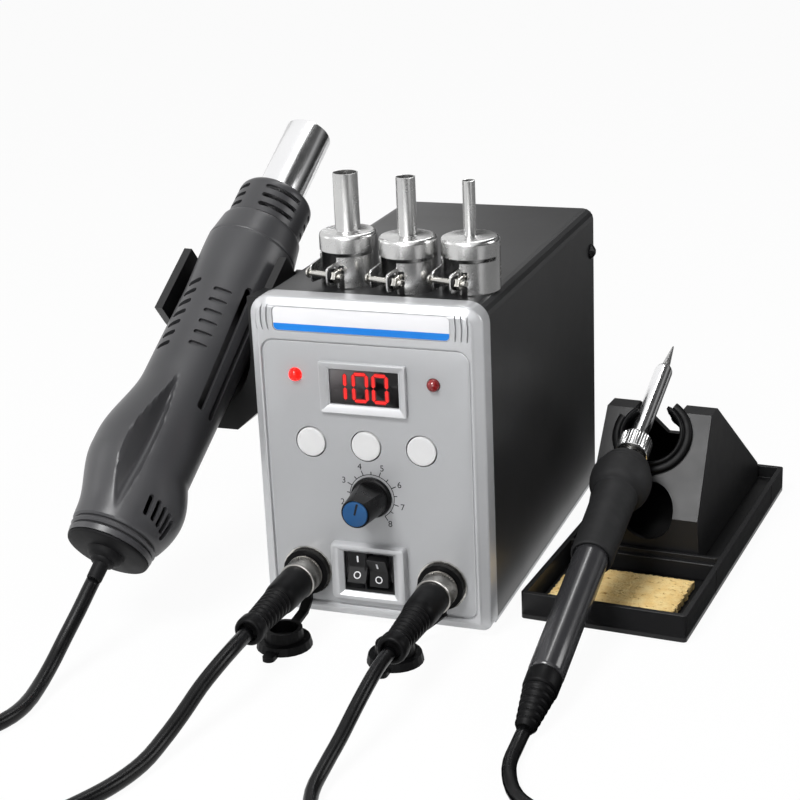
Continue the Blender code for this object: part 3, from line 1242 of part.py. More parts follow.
def make_tower(stand):
    """The hollow wedge that carries the funnel, and the split rubber funnel itself."""
    turn = Matrix.Rotation(math.pi / 2, 4, "Z") @ Matrix.Rotation(math.pi / 2, 4, "X")
    bm = bmesh.new()
    prism(bm, tower_outline(0.0), TOWER_X[0], TOWER_X[1], turn)
    lean_side(bm)
    tower = add_part("stand_tower", bm, "dark_plastic", stand)
    bm = bmesh.new()
    prism(bm, tower_outline(TOWER_WALL), TOWER_X[0] + TOWER_WALL, TOWER_X[1] - TOWER_WALL, turn)
    lean_side(bm)
    boolean(tower, add_cutter("tower_hollow", bm, stand))
    funnel = slope_frame(stand)
    bm = bmesh.new()
    tube = FUNNEL_R + FUNNEL_WALL + GAP
    rod(bm, tube, -TOWER_WALL * 2.2, EPS, 28)
    boolean(tower, add_cutter("funnel_hole", bm, funnel))
    top = TOWER_TOP_Z + EPS
    notch = Matrix.Rotation(math.pi / 2, 4, "X")
    for name, share, begin in (("front", 0.56, TOWER_BASE_Y[0]), ("rear", 0.34, TOWER_TOP_Y[0])):
        low = TOWER_KNEE_Z + RING_RISE * share
        half = NOTCH_HALF - (top - low) * NOTCH_TAPER
        outline = [(-half, low), (half, low), (NOTCH_HALF, top), (-NOTCH_HALF, top)]
        bm = bmesh.new()
        prism(bm, outline, -TOWER_BASE_Y[1], -begin, notch)
        boolean(tower, add_cutter("tower_notch_" + name, bm, stand, (RING_AT, 0.0, 0.0)))
    bm = bmesh.new()
    rod(bm, HOLE_R, -TOWER_BASE_Y[0] - 0.0200, -TOWER_BASE_Y[0] + EPS, 28,
        turn=Matrix.Translation((HOLE_AT[0], 0.0, HOLE_AT[1])) @ Matrix.Rotation(math.pi / 2, 4, "X"))
    boolean(tower, add_cutter("tower_hole", bm, stand))
    wall = FUNNEL_WALL
    flange = 0.0026
    profile = [(FUNNEL_R, flange), (FUNNEL_FLANGE_R - 0.0010, flange),
               (FUNNEL_FLANGE_R, flange - 0.0010), (FUNNEL_FLANGE_R, GAP),
               (FUNNEL_R + wall, GAP), (FUNNEL_END_R + wall, -FUNNEL_L),
               (FUNNEL_END_R, -FUNNEL_L)]
    ring = turned("stand_ring", profile, "black_rubber", funnel, segments=32)
    bm = bmesh.new()
    reach = FUNNEL_FLANGE_R * 1.8
    left, right = FUNNEL_OPEN
    middle = (left + right) / 2
    wedge = [(0.0, 0.0)]
    wedge += [(reach * math.sin(angle), reach * math.cos(angle)) for angle in (right, middle, left)]
    prism(bm, wedge, -FUNNEL_L - EPS, flange + EPS)
    boolean(ring, add_cutter("funnel_split", bm, funnel))


def soldering_iron(station):
    """The iron, from its tip down to the boot at the foot of the handle."""
    foot = Vector(IRON_FOOT)
    aim = Vector(IRON_AIM) - foot
    pitch = math.atan2(aim.z, math.hypot(aim.x, aim.y))
    yaw = math.atan2(aim.x, aim.y)
    iron = frame("iron_frame", station, IRON_FOOT, (-(math.pi / 2 - pitch), 0.0, -yaw))
    grip_low, grip_high = IRON_GRIP
    bore = IRON_BARREL_R - 0.0012
    low = IRON_NUT[0] - 0.0100
    profile = [(bore, IRON_BARREL_END), (IRON_BARREL_R - 0.0008, IRON_BARREL_END),
               (IRON_BARREL_R, IRON_BARREL_END - 0.0020), (IRON_BARREL_R, low), (bore, low)]
    turned("iron_barrel", profile, "steel", iron, segments=24)
    shank = bore - SLIP
    profile = [(0.0, IRON_TIP_END), (0.0006, IRON_TIP_END - 0.0006),
               (shank - 0.0002, IRON_BARREL_END + 0.0012), (shank, IRON_BARREL_END + 0.0004),
               (shank, IRON_BARREL_END - IRON_TIP_SHANK),
               (0.0, IRON_BARREL_END - IRON_TIP_SHANK)]
    turned("iron_tip", profile, "steel", iron, segments=16)
    neck = IRON_NUT_R - 0.0012
    hug = IRON_BARREL_R + SLIP
    profile = [(hug, IRON_NUT[1]), (IRON_NUT_R - 0.0006, IRON_NUT[1]),
               (IRON_NUT_R, IRON_NUT[1] - 0.0006), (IRON_NUT_R, IRON_NUT[0] + 0.0004),
               (IRON_NUT_R - 0.0004, IRON_NUT[0]), (hug, IRON_NUT[0])]
    turned("iron_nut", profile, "steel", iron, segments=28)
    sleeve = IRON_HANDLE_R + SLIP
    lip = IRON_NUT[0] - GAP
    profile = [(hug, lip), (neck, lip), (neck, grip_high + 0.0012),
               (IRON_NUT_R + 0.0022, grip_high), (IRON_FLANGE_R - 0.0024, grip_high - 0.0060),
               (IRON_FLANGE_R, grip_high - 0.0120), (IRON_FLANGE_R, grip_high - 0.0160),
               (IRON_FLANGE_R - 0.0018, grip_high - 0.0200), (IRON_GRIP_R + 0.0016, grip_high - 0.0216),
               (IRON_GRIP_R + 0.0018, grip_high - 0.0240), (IRON_GRIP_R, grip_low + 0.0008),
               (IRON_GRIP_R - 0.0008, grip_low), (sleeve, grip_low), (sleeve, grip_high - 0.0230),
               (hug, grip_high - 0.0230)]
    turned("iron_grip", profile, "black_rubber", iron)
    boot_low, boot_high = IRON_BOOT
    top = grip_high - 0.0230 - GAP
    spigot = 0.0046
    profile = [(0.0, top), (IRON_HANDLE_R, top), (IRON_HANDLE_R, boot_high),
               (spigot + SLIP, boot_high), (spigot + SLIP, boot_high + 0.0060),
               (0.0, boot_high + 0.0060)]
    turned("iron_handle", profile, "dark_plastic", iron, segments=28)
    profile = [(0.0, boot_high + 0.0057), (spigot, boot_high + 0.0057),
               (spigot, boot_high - GAP), (IRON_HANDLE_R - 0.0003, boot_high - GAP),
               (IRON_HANDLE_R - 0.0004, boot_high - 0.0070)]
    count = 5
    pitch_z = (boot_high - 0.0076 - boot_low) / count
    for index in range(count):
        high = boot_high - 0.0076 - index * pitch_z
        radius = IRON_HANDLE_R - 0.0006 - (IRON_HANDLE_R - 0.0044) * (index + 1) / count
        profile += [(radius + 0.0004, high - 0.20 * pitch_z),
                    (radius - 0.0004, high - 0.85 * pitch_z)]
    profile.append((0.0, boot_low))
    turned("iron_boot", profile, "black_rubber", iron, segments=16)
    return iron


def cords(station):
    """Free cords: plain tubes where they run, and a turned ring for each coil."""
    cord("gun_cord_tail", GUN_TAIL_ROUTE, GUN_CORD_R, station)
    cord("gun_cord_lead", GUN_LEAD_ROUTE, GUN_CORD_R - 0.0003, station)
    cord("iron_cord_tail", IRON_TAIL_ROUTE, IRON_CORD_R, station)
    cord("iron_cord_lead", IRON_LEAD_ROUTE, IRON_CORD_R, station)
    for name, spot, middle, radius, turns in (
            ("gun_cord_coil", GUN_COIL_AT, GUN_COIL_R, GUN_CORD_R, GUN_COIL_TURNS),
            ("iron_cord_coil", IRON_COIL_AT, IRON_COIL_R, IRON_CORD_R, IRON_COIL_TURNS)):
        half = turns[0] * radius
        height = 2 * turns[1] * radius
        soft = radius * 0.6
        profile = [(middle - half + soft, height), (middle + half - soft, height),
                   (middle + half, height - soft), (middle + half, soft),
                   (middle + half - soft, 0.0), (middle - half + soft, 0.0),
                   (middle - half, soft), (middle - half, height - soft)]
        turned(name, profile, "black_rubber", station, (*spot, GAP), segments=24)


station_frame = frame("station_frame", None, (STATION_X, STATION_Y, 0.0))
control_box(station_frame)
connectors(station_frame)
gun_frame = hot_air_gun(station_frame)
make_cradle(station_frame, gun_frame)
nozzle_set(station_frame)
iron_stand(station_frame)
soldering_iron(station_frame)
cords(station_frame)
bpy.context.view_layer.update()
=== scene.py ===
"""Looks of the bench rework station: control box, hot-air gun, soldering iron and stand.

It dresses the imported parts: each piece is modelled finer than its solid, in the same place,
and gets the finish of the real material. +Z is up. The frame and the cords are in metres; the
pieces' own outlines, heights and edges are in millimetres, which MM turns into metres.
"""

import math

import bmesh
import bpy
from mathutils import Matrix, Vector, noise


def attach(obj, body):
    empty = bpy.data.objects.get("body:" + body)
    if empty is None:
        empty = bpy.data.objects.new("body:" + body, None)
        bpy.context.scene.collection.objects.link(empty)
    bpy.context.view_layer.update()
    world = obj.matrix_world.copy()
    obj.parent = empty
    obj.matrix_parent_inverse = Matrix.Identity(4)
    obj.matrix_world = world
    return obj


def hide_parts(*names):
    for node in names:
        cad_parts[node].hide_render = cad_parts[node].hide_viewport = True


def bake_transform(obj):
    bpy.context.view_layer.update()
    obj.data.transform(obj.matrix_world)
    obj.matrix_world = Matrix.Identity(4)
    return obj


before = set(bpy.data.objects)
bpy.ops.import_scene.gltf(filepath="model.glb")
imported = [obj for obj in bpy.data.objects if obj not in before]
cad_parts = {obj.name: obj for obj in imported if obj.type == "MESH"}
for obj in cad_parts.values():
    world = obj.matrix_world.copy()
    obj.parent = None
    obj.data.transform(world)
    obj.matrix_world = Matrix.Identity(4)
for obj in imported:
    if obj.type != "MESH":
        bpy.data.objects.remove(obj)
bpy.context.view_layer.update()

MM = 0.001

# The control box stands with its panel's middle, front face and underside here.
STATION = Vector((-0.0082, -0.0616, 0.0))


def turn(axis, degrees):
    return Matrix.Rotation(math.radians(degrees), 4, axis)


def shift(x, y, z):
    """A move in millimetres."""
    return Matrix.Translation(Vector((x, y, z)) * MM)


BOX = Matrix.Translation(STATION)


def facing(x, z):
    """A place on the front panel, in millimetres: local Z points out of it and local Y up."""
    return BOX @ shift(x, 0.0, z) @ turn("X", 90)


# Camera: the photograph's viewing angle, around a point in the middle of the box.
AZIMUTH = 20.87
ELEVATION = 19.01
ROLL = -2.54
LENS = 80.9
DISTANCE = 720.7  # millimetres from the point it looks at
LOOK_AT = BOX @ Vector((0.01495, 0.0, 0.1028))


def make_camera():
    data = bpy.data.cameras.new("camera")
    data.lens = LENS
    data.sensor_width = 36.0
    data.clip_start = 0.01
    view = bpy.data.objects.new("camera", data)
    bpy.context.scene.collection.objects.link(view)
    aim = turn("Z", AZIMUTH) @ turn("X", 90 - ELEVATION) @ turn("Z", ROLL)
    view.matrix_world = Matrix.Translation(LOOK_AT) @ aim @ shift(0, 0, DISTANCE)
    bpy.context.scene.camera = view


make_camera()

# Cords, in metres: thickness, the coils that hold the hidden length, and the solids' routes.
GUN_CORD_D = 0.0062
IRON_CORD_D = 0.0055
GUN_COIL = BOX @ Vector((-0.1120, -0.2060, 0.0003))
GUN_COIL_R = 0.0330
IRON_COIL = BOX @ Vector((0.1010, -0.1755, 0.0003))
IRON_COIL_R = 0.0300
GUN_TAIL = (
    (-0.1036, -0.0516, 0.0322), (-0.1041, -0.0556, 0.0292), (-0.1050, -0.0627, 0.0237),
    (-0.1067, -0.0724, 0.0160), (-0.1076, -0.0830, 0.0090), (-0.1072, -0.0950, 0.0048),
    (-0.1062, -0.1068, 0.0035), (-0.1080, -0.1200, 0.0034), (-0.1170, -0.1370, 0.0034),
    (-0.1310, -0.1550, 0.0034), (-0.1440, -0.1730, 0.0034), (-0.1528, -0.1930, 0.0034),
    (-0.1546, -0.2060, 0.0034),
)
GUN_LEAD = (
    (-0.0300, -0.0624, 0.0232), (-0.0300, -0.0700, 0.0232), (-0.0301, -0.0765, 0.0229),
    (-0.0315, -0.0860, 0.0208), (-0.0340, -0.0970, 0.0166), (-0.0362, -0.1090, 0.0112),
    (-0.0385, -0.1210, 0.0066), (-0.0405, -0.1340, 0.0038), (-0.0445, -0.1510, 0.0034),
    (-0.0530, -0.1700, 0.0034), (-0.0640, -0.1880, 0.0034), (-0.0697, -0.2060, 0.0034),
)
IRON_TAIL = (
    (0.0863, -0.0741, 0.0042), (0.0863, -0.0830, 0.0031), (0.0880, -0.0990, 0.0030),
    (0.0960, -0.1160, 0.0030), (0.1110, -0.1270, 0.0030), (0.1280, -0.1380, 0.0030),
    (0.1395, -0.1560, 0.0030), (0.1423, -0.1755, 0.0030),
)
IRON_LEAD = (
    (0.0300, -0.0624, 0.0232), (0.0300, -0.0700, 0.0232), (0.0300, -0.0765, 0.0229),
    (0.0299, -0.0870, 0.0210), (0.0290, -0.0980, 0.0168), (0.0276, -0.1090, 0.0112),
    (0.0262, -0.1210, 0.0064), (0.0265, -0.1340, 0.0034), (0.0320, -0.1470, 0.0030),
    (0.0430, -0.1560, 0.0030), (0.0545, -0.1650, 0.0030), (0.0597, -0.1755, 0.0030),
)


def smooth_step(value):
    """Rises from nought to one without a kink at either end."""
    value = min(1.0, max(0.0, value))
    return value * value * (3 - 2 * value)


def bell(value, middle, width):
    return math.exp(-((value - middle) / width) ** 2)


def between(low, high, share):
    return low + (high - low) * share


# Meshes. Outlines, heights and edges are in millimetres unless a function says otherwise.

def finish(name, bm, material, body, smooth=35.0, replaces=()):
    """Turns a bmesh into a piece that rides on its body, with faces outwards and soft shading."""
    bmesh.ops.recalc_face_normals(bm, faces=bm.faces[:])
    mesh = bpy.data.meshes.new(name)
    bm.to_mesh(mesh)
    bm.free()
    piece = bpy.data.objects.new(name, mesh)
    bpy.context.scene.collection.objects.link(piece)
    for surface in material if isinstance(material, (list, tuple)) else [material]:
        mesh.materials.append(surface)
    mesh.shade_smooth()
    if smooth < 180:
        mesh.set_sharp_from_angle(angle=math.radians(smooth))
    if body:
        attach(piece, body)
    if replaces:
        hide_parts(*replaces)
    return piece


def add_box(bm, low, high, place):
    """A block from one corner to the other."""
    low, high = Vector(low) * MM, Vector(high) * MM
    size = Matrix.Diagonal((*(high - low), 1.0))
    bmesh.ops.create_cube(bm, size=1.0,
                          matrix=place @ Matrix.Translation((low + high) / 2) @ size)


def spin_profile(bm, profile, place=None, segments=48):
    """Turns (radius, height) points round local Z into a closed skin and returns its points."""
    others = set(bm.verts)
    points = [bm.verts.new((radius * MM, 0.0, height * MM)) for radius, height in profile]
    pairs = list(zip(points, points[1:]))
    if profile[0][0] > 0.0:
        pairs.append((points[-1], points[0]))
    edges = [bm.edges.new(pair) for pair in pairs]
    bmesh.ops.spin(bm, geom=points + edges, cent=(0, 0, 0), axis=(0, 0, 1), dvec=(0, 0, 0),
                   angle=math.tau, steps=segments, use_merge=True)
    bmesh.ops.remove_doubles(bm, verts=[vert for vert in bm.verts if vert not in others],
                             dist=0.0001 * MM)
    made = [vert for vert in bm.verts if vert not in others]
    if place:
        bmesh.ops.transform(bm, matrix=place, verts=made)
    return made


def turned_piece(name, profile, segments, place, material, body, smooth=40.0, replaces=()):
    """A piece turned on a lathe from its (radius, height) points."""
    bm = bmesh.new()
    spin_profile(bm, profile, place, segments)
    return finish(name, bm, material, body, smooth, replaces)


def angle_step(vert, segments):
    """Which of the equal steps round local Z a point stands on."""
    return round(math.atan2(vert.co.y, vert.co.x) / math.tau * segments) % segments


def rounded(width, height, radius, steps=6):
    """A rounded rectangle about the middle, counter-clockwise."""
    points = []
    for corner in range(4):
        sx, sz = ((1, 1), (-1, 1), (-1, -1), (1, -1))[corner]
        for step in range(steps + 1):
            angle = math.radians(90.0) * (corner + step / steps)
            points.append((sx * (width / 2 - radius) + radius * math.cos(angle),
                           sz * (height / 2 - radius) + radius * math.sin(angle)))
    return points


def circle(radius, steps=32, start=0.0):
    return [(radius * math.cos(start + math.tau * step / steps),
             radius * math.sin(start + math.tau * step / steps)) for step in range(steps)]


def loft(bm, loops, caps=True):
    """Joins rings of the same number of points; each ring is a list of 3-D points."""
    rings = [[bm.verts.new(point) for point in ring] for ring in loops]
    count = len(rings[0])
    for low, high in zip(rings, rings[1:]):
        for index in range(count):
            following = (index + 1) % count
            bm.faces.new((low[index], low[following], high[following], high[index]))
    if caps:
        bm.faces.new(rings[0])
        bm.faces.new(rings[-1])
    return rings


def ring_loops(bm, rings, place, capped=False):
    """Joins (outline, height) rings in order; without caps the last joins the first."""
    loops = [[place @ (Vector((x, y, height)) * MM) for x, y in outline]
             for outline, height in rings]
    made = loft(bm, loops, caps=capped)
    if not capped:
        first, last = made[0], made[-1]
        for index in range(len(first)):
            following = (index + 1) % len(first)
            bm.faces.new((last[index], last[following], first[following], first[index]))


def prism(bm, outline, low, high, place, edge=0.0):
    """Raises a flat outline from low to high, its two rims rounded by edge."""
    foot = bm.faces.new([bm.verts.new((x * MM, y * MM, low * MM)) for x, y in outline])
    raised = bmesh.ops.extrude_face_region(bm, geom=[foot])["geom"]
    top = [part for part in raised if isinstance(part, bmesh.types.BMVert)]
    bmesh.ops.translate(bm, vec=(0.0, 0.0, (high - low) * MM), verts=top)
    made = list(foot.verts) + top
    if edge:
        rims = list(foot.edges) + [part for part in raised if isinstance(part, bmesh.types.BMEdge)]
        others = set(bm.verts) - set(made)
        bmesh.ops.bevel(bm, geom=rims, offset=edge * MM, offset_type="OFFSET", segments=2,
                        profile=0.5, affect="EDGES", material=-1, clamp_overlap=True)
        made = [vert for vert in bm.verts if vert not in others]
    bmesh.ops.transform(bm, matrix=place, verts=made)


def outline_normals(outline):
    """Outward normals at the points of a counter-clockwise outline, mitred at its corners."""
    count = len(outline)
    normals = []
    for index in range(count):
        before = Vector(outline[index]) - Vector(outline[index - 1])
        after = Vector(outline[(index + 1) % count]) - Vector(outline[index])
        a = Vector((before.y, -before.x)).normalized()
        b = Vector((after.y, -after.x)).normalized()
        both = (a + b).normalized()
        normals.append(both / max(0.35, both.dot(a)))
    return normals


def smooth_route(points, spacing):
    """A smooth curve through the points, with a point about every spacing."""
    points = [Vector(point) for point in points]
    curve = []
    for index in range(len(points) - 1):
        before = points[max(0, index - 1)]
        start, end = points[index], points[index + 1]
        after = points[min(len(points) - 1, index + 2)]
        leave = (end - before) / 2
        reach = (after - start) / 2
        count = max(2, int((end - start).length / spacing))
        for step in range(count):
            t = step / count
            curve.append((2 * t**3 - 3 * t**2 + 1) * start + (t**3 - 2 * t**2 + t) * leave
                         + (-2 * t**3 + 3 * t**2) * end + (t**3 - t**2) * reach)
    return curve + [points[-1]]


def sweep(bm, path, section):
    """Carries a closed outline (across, up), in metres, along a path without twisting it."""
    normal = Vector((0, 0, 1))
    loops = []
    for index, point in enumerate(path):
        along = (path[min(index + 1, len(path) - 1)] - path[max(index - 1, 0)]).normalized()
        normal = (normal - along * normal.dot(along)).normalized()
        across = along.cross(normal)
        loops.append([point + across * x + normal * y for x, y in section])
    return loft(bm, loops)


def cut(piece, bm):
    """Cuts a closed mesh out of a piece and keeps only the result."""
    bmesh.ops.recalc_face_normals(bm, faces=bm.faces[:])
    mesh = bpy.data.meshes.new("tool")
    bm.to_mesh(mesh)
    bm.free()
    tool = bpy.data.objects.new("tool", mesh)
    bpy.context.scene.collection.objects.link(tool)
    for slot in piece.data.materials:
        mesh.materials.append(slot)
    change = piece.modifiers.new("cut", "BOOLEAN")
    change.object = tool
    change.operation = "DIFFERENCE"
    change.solver = "EXACT"
    change.use_self = True
    bpy.context.view_layer.update()
    result = bpy.data.meshes.new_from_object(
        piece.evaluated_get(bpy.context.evaluated_depsgraph_get()))
    piece.modifiers.clear()
    old = piece.data
    piece.data = result
    result.name = piece.name
    bpy.data.meshes.remove(old)
    bpy.data.objects.remove(tool)
    bpy.data.meshes.remove(mesh)


def soften(piece, width, segments=2, angle=40.0):
    """Rounds a piece's sharp edges by a width in millimetres."""
    change = piece.modifiers.new("soft_edges", "BEVEL")
    change.width = width * MM
    change.segments = segments
    change.limit_method = "ANGLE"
    change.angle_limit = math.radians(angle)
    change.harden_normals = True


# Materials

def hexed(text):
    """A colour as it shows on the screen, as the linear numbers that a shader takes."""
    values = [int(text[index:index + 2], 16) / 255 for index in (1, 3, 5)]
    return tuple(value / 12.92 if value <= 0.04045 else ((value + 0.055) / 1.055) ** 2.4
                 for value in values) + (1.0,)


def node(tree, kind, settings=None, links=None):
    """Adds a node; settings fill its sockets or properties, links its sockets."""
    made = tree.nodes.new(kind)
    for name, value in (settings or {}).items():
        if name in made.inputs:
            made.inputs[name].default_value = value
        else:
            setattr(made, name, value)
    for name, source in (links or {}).items():
        tree.links.new(source, made.inputs[name])
    return made


def ramp(tree, factor, stops):
    """A colour ramp with (place, colour) stops; a plain number stands for a grey."""
    made = node(tree, "ShaderNodeValToRGB", links={"Fac": factor})
    while len(made.color_ramp.elements) < len(stops):
        made.color_ramp.elements.new(0.5)
    for element, (place, colour) in zip(made.color_ramp.elements, stops):
        element.position = place
        element.color = hexed(colour) if isinstance(colour, str) else (colour,) * 3 + (1.0,)
    return made.outputs["Color"]


def new_material(name):
    made = bpy.data.materials.new(name)
    made.use_nodes = True
    return made, made.node_tree


def show_surface(tree, shade):
    tree.links.new(shade.outputs[0], tree.nodes["Material Output"].inputs["Surface"])


def grain(tree, size, detail=3.0, stretch=(1, 1, 1), place=(0, 0, 0)):
    """Cloudy noise whose patches are about size millimetres wide, in the object's own space."""
    where = node(tree, "ShaderNodeTexCoord")
    laid = node(tree, "ShaderNodeMapping",
                {"Scale": tuple(1.0 / (size * MM) / value for value in stretch),
                 "Location": place}, {"Vector": where.outputs["Object"]})
    return node(tree, "ShaderNodeTexNoise", {"Scale": 1.0, "Detail": detail, "Roughness": 0.6},
                {"Vector": laid.outputs["Vector"]}).outputs["Fac"]


def look(name, colours, rough, patch=24.0, rough_patch=9.0, bump=(0.6, 0.01), metallic=0.0,
         specular=0.5, coat=0.0, stretch=(1, 1, 1)):
    """A finish: colours drift between two shades, gloss between two roughnesses, over a grain.

    bump is the grain's size and its depth in millimetres; stretch draws the patterns out.
    """
    made, tree = new_material(name)
    shader = tree.nodes["Principled BSDF"]
    shader.inputs["Metallic"].default_value = metallic
    shader.inputs["Specular IOR Level"].default_value = specular
    shader.inputs["Coat Weight"].default_value = coat
    shader.inputs["Coat Roughness"].default_value = 0.12
    cloud = grain(tree, patch, 2.0, stretch)
    tree.links.new(ramp(tree, cloud, ((0.30, colours[0]), (0.70, colours[1]))),
                   shader.inputs["Base Color"])
    smears = grain(tree, rough_patch, 4.0, stretch, (0.3, 0.7, 0.1))
    tree.links.new(ramp(tree, smears, ((0.32, rough[0]), (0.68, rough[1]))),
                   shader.inputs["Roughness"])
    size, depth = bump
    fine = grain(tree, size, 2.0, stretch, (0.5, 0.2, 0.9))
    raised = node(tree, "ShaderNodeBump", {"Strength": 1.0, "Distance": depth * MM},
                  {"Height": fine})
    tree.links.new(raised.outputs["Normal"], shader.inputs["Normal"])
    return made


def glow(name, inner, outer, strength, rough=0.3):
    """A lit plastic, or a painted glow: its colour drifts a little, and it shines by itself."""
    made = look(name, (inner, outer), (rough, rough + 0.1), 3.0, 2.0, (1.0, 0.002), specular=0.3)
    tree = made.node_tree
    shader = tree.nodes["Principled BSDF"]
    tree.links.new(ramp(tree, grain(tree, 2.2, 1.0), ((0.3, inner), (0.7, outer))),
                   shader.inputs["Emission Color"])
    shader.inputs["Emission Strength"].default_value = strength
    return made


# Satin black powder coat on folded steel: a fine even orange peel that softens every highlight.
CASE_PAINT = look("satin_black_powder_coat", ("#1a1a1b", "#1d1e1f"), (0.36, 0.40), 90.0, 30.0,
                  (0.9, 0.003), specular=0.60)
# Silver lacquer on moulded ABS: a pale bezel with an even metallic gleam and hardly any grain.
SILVER = look("silver_lacquered_abs", ("#b6b7b9", "#babbbd"), (0.30, 0.32), 90.0, 40.0,
              (2.0, 0.0002), metallic=0.30, specular=0.4, coat=0.05)
# The sunk control field: the same lacquer a tone darker and flatter.
SILVER_DARK = look("silver_lacquer_field", ("#a4a5a7", "#a9aaac"), (0.36, 0.40), 90.0, 30.0,
                   (0.3, 0.002), metallic=0.30, specular=0.4)
# Dark grey ABS of the gun's handle: spark-eroded mould texture, satin and slightly worn.
GUN_PLASTIC = look("spark_textured_grey_abs", ("#373739", "#3d3d3f"), (0.34, 0.40), 40.0, 12.0,
                   (0.35, 0.005), specular=0.42)
# Black moulded plastic of tray, tower, switches and inlet: semi-matt, evenly black.
BLACK_PLASTIC = look("moulded_black_abs", ("#161617", "#1a1a1b"), (0.36, 0.42), 60.0, 14.0,
                     (0.5, 0.003), specular=0.24)
# End cap of the gun: flat black moulding, darker than the handle.
CAP_PLASTIC = look("matt_black_end_cap", ("#111112", "#161617"), (0.50, 0.58), 20.0, 7.0,
                   (0.4, 0.006), specular=0.10)
# Glossy black holder of the gun: a smooth cradle sheet with a soft bright edge.
HOLDER_PLASTIC = look("glossy_black_holder", ("#0f0f10", "#151516"), (0.30, 0.36), 30.0, 15.0,
                      (1.0, 0.0008), specular=0.45)
# Moulded rubber of boots, caps and the rest ring: deep black with a dull, slightly uneven gleam.
RUBBER = look("black_moulded_rubber", ("#060607", "#0b0b0c"), (0.40, 0.50), 12.0, 5.0,
              (0.4, 0.008), specular=0.10)
# Soft sleeve of the iron's grip: matt foam rubber that drinks the light.
GRIP_RUBBER = look("matt_grip_rubber", ("#161617", "#1c1c1d"), (0.60, 0.72), 14.0, 5.0,
                   (0.3, 0.010), specular=0.25)
# Soft PVC of the cords: black with a low oily shine along its length.
CORD_PVC = look("black_pvc_cord", ("#070708", "#0c0c0d"), (0.26, 0.36), 18.0, 6.0,
                (0.8, 0.005), specular=0.20)
# Glossy black of the iron's handle: injection moulded, with one clean bright line.
HANDLE_GLOSS = look("glossy_black_polyamide", ("#2c2c2e", "#333335"), (0.17, 0.23), 30.0, 9.0,
                    (0.5, 0.003), specular=0.55)
# Collar under the iron's nut: a harder, deeper gloss.
GLOSS_BLACK = look("glossy_black_collar", ("#0c0c0d", "#111112"), (0.12, 0.20), 8.0, 4.0,
                   (0.5, 0.003), specular=0.6)
# Black knob: smooth phenolic with a soft shine.
KNOB_PLASTIC = look("black_phenolic_knob", ("#080809", "#0c0c0d"), (0.26, 0.32), 12.0, 5.0,
                    (0.4, 0.003), specular=0.16)
# Polished stainless tube: mirror bright, its sides split into white and dark.
POLISHED = look("polished_stainless", ("#eeeeef", "#f4f4f5"), (0.17, 0.21), 40.0, 12.0,
                (0.2, 0.0006), metallic=1.0)
# Stamped stainless of the nozzles, a little duller.
STAMPED = look("stamped_stainless", ("#c4c4c4", "#cececd"), (0.24, 0.28), 14.0, 6.0,
               (0.15, 0.001), metallic=1.0)
# Nickel plate on turned brass: warm bright rings and sockets.
NICKEL = look("nickel_plated_brass", ("#bdbbb6", "#cdcbc6"), (0.17, 0.24), 8.0, 3.0,
              (0.12, 0.0010), metallic=1.0)
# Steel of the iron's thread: darker than the nickel round it, with a gleam.
NICKEL_DARK = look("dark_thread_steel", ("#5c5b59", "#71706d"), (0.22, 0.32), 4.0, 2.0,
                   (0.2, 0.002), metallic=1.0)
# Bright chromed nut with cut knurls.
BRIGHT_NUT = look("knurled_chrome", ("#dddddd", "#e6e6e6"), (0.16, 0.22), 8.0, 3.0,
                  (0.12, 0.0008), metallic=1.0)
# Cross-cut knurl of the coupling rings: the same nickel, dulled by handling to a rougher gleam, and
# painted darker for the shade in its knurl.
KNURL = look("knurled_nickel", ("#9d9b97", "#b0aeaa"), (0.26, 0.36), 6.0, 2.0,
             (0.15, 0.002), metallic=1.0)
# Zinc-plated sheet steel inside and under the box, with spangle.
ZINC = look("zinc_plated_sheet", ("#9a9c9e", "#b1b3b4"), (0.28, 0.42), 9.0, 5.0,
            (1.2, 0.004), metallic=1.0)
# Screws and washers with a blackened finish.
BLACK_STEEL = look("blackened_steel", ("#1b1b1c", "#29292a"), (0.28, 0.42), 5.0, 2.0,
                   (0.3, 0.006), metallic=0.8)
# Push buttons: plain bright styrene.
WHITE_PLASTIC = look("white_styrene", ("#c6c6c7", "#cccccc"), (0.32, 0.40), 20.0, 6.0,
                     (0.4, 0.002), specular=0.4)
# White lacquer of the name plate and of the marks on the rockers, and the plate's blue band.
WHITE_PRINT = look("white_print", ("#d2d2d5", "#d8d8da"), (0.38, 0.46), 25.0, 8.0,
                   (0.4, 0.002), specular=0.3)
BLUE_PRINT = look("blue_print", ("#0a6fc4", "#0d78d0"), (0.36, 0.44), 25.0, 8.0,
                  (0.4, 0.002), specular=0.3)
# Black printing ink of the dial.
INK = look("black_ink", ("#111112", "#1a1a1b"), (0.45, 0.60), 4.0, 2.0, (0.3, 0.002),
           specular=0.2)
# Knob cap in blue polystyrene.
BLUE_PLASTIC = look("blue_styrene", ("#10426f", "#144a79"), (0.34, 0.42), 8.0, 3.0,
                    (0.4, 0.003), specular=0.35)
# Smoked acrylic under the display's skin: near black with a faint red cast.
SMOKED = look("smoked_acrylic", ("#050203", "#0a0405"), (0.05, 0.09), 20.0, 9.0,
              (3.0, 0.002), specular=0.4)
# Lit segments, their halo on the smoked window as a painted glow, and the lit lamp.
DIGIT_LIGHT = glow("red_segments", "#d01c1a", "#da2421", 0.80)
DIGIT_HALO_PAINTED_GLOW = glow("red_segment_painted_halo", "#5e1212", "#741717", 0.30)
LAMP_LIT = glow("red_lamp_lit", "#ff0a06", "#ff1a12", 1.5, 0.12)
# Red epoxy of an unlit indicator lamp.
RED_EPOXY = look("red_epoxy_lens", ("#6a0a0c", "#8a1216"), (0.10, 0.16), 3.0, 2.0,
                 (1.0, 0.002), coat=0.5)
# Solder-masked board.
BOARD = look("green_solder_mask", ("#0b3d1d", "#14572b"), (0.24, 0.36), 5.0, 3.0,
             (0.8, 0.020))
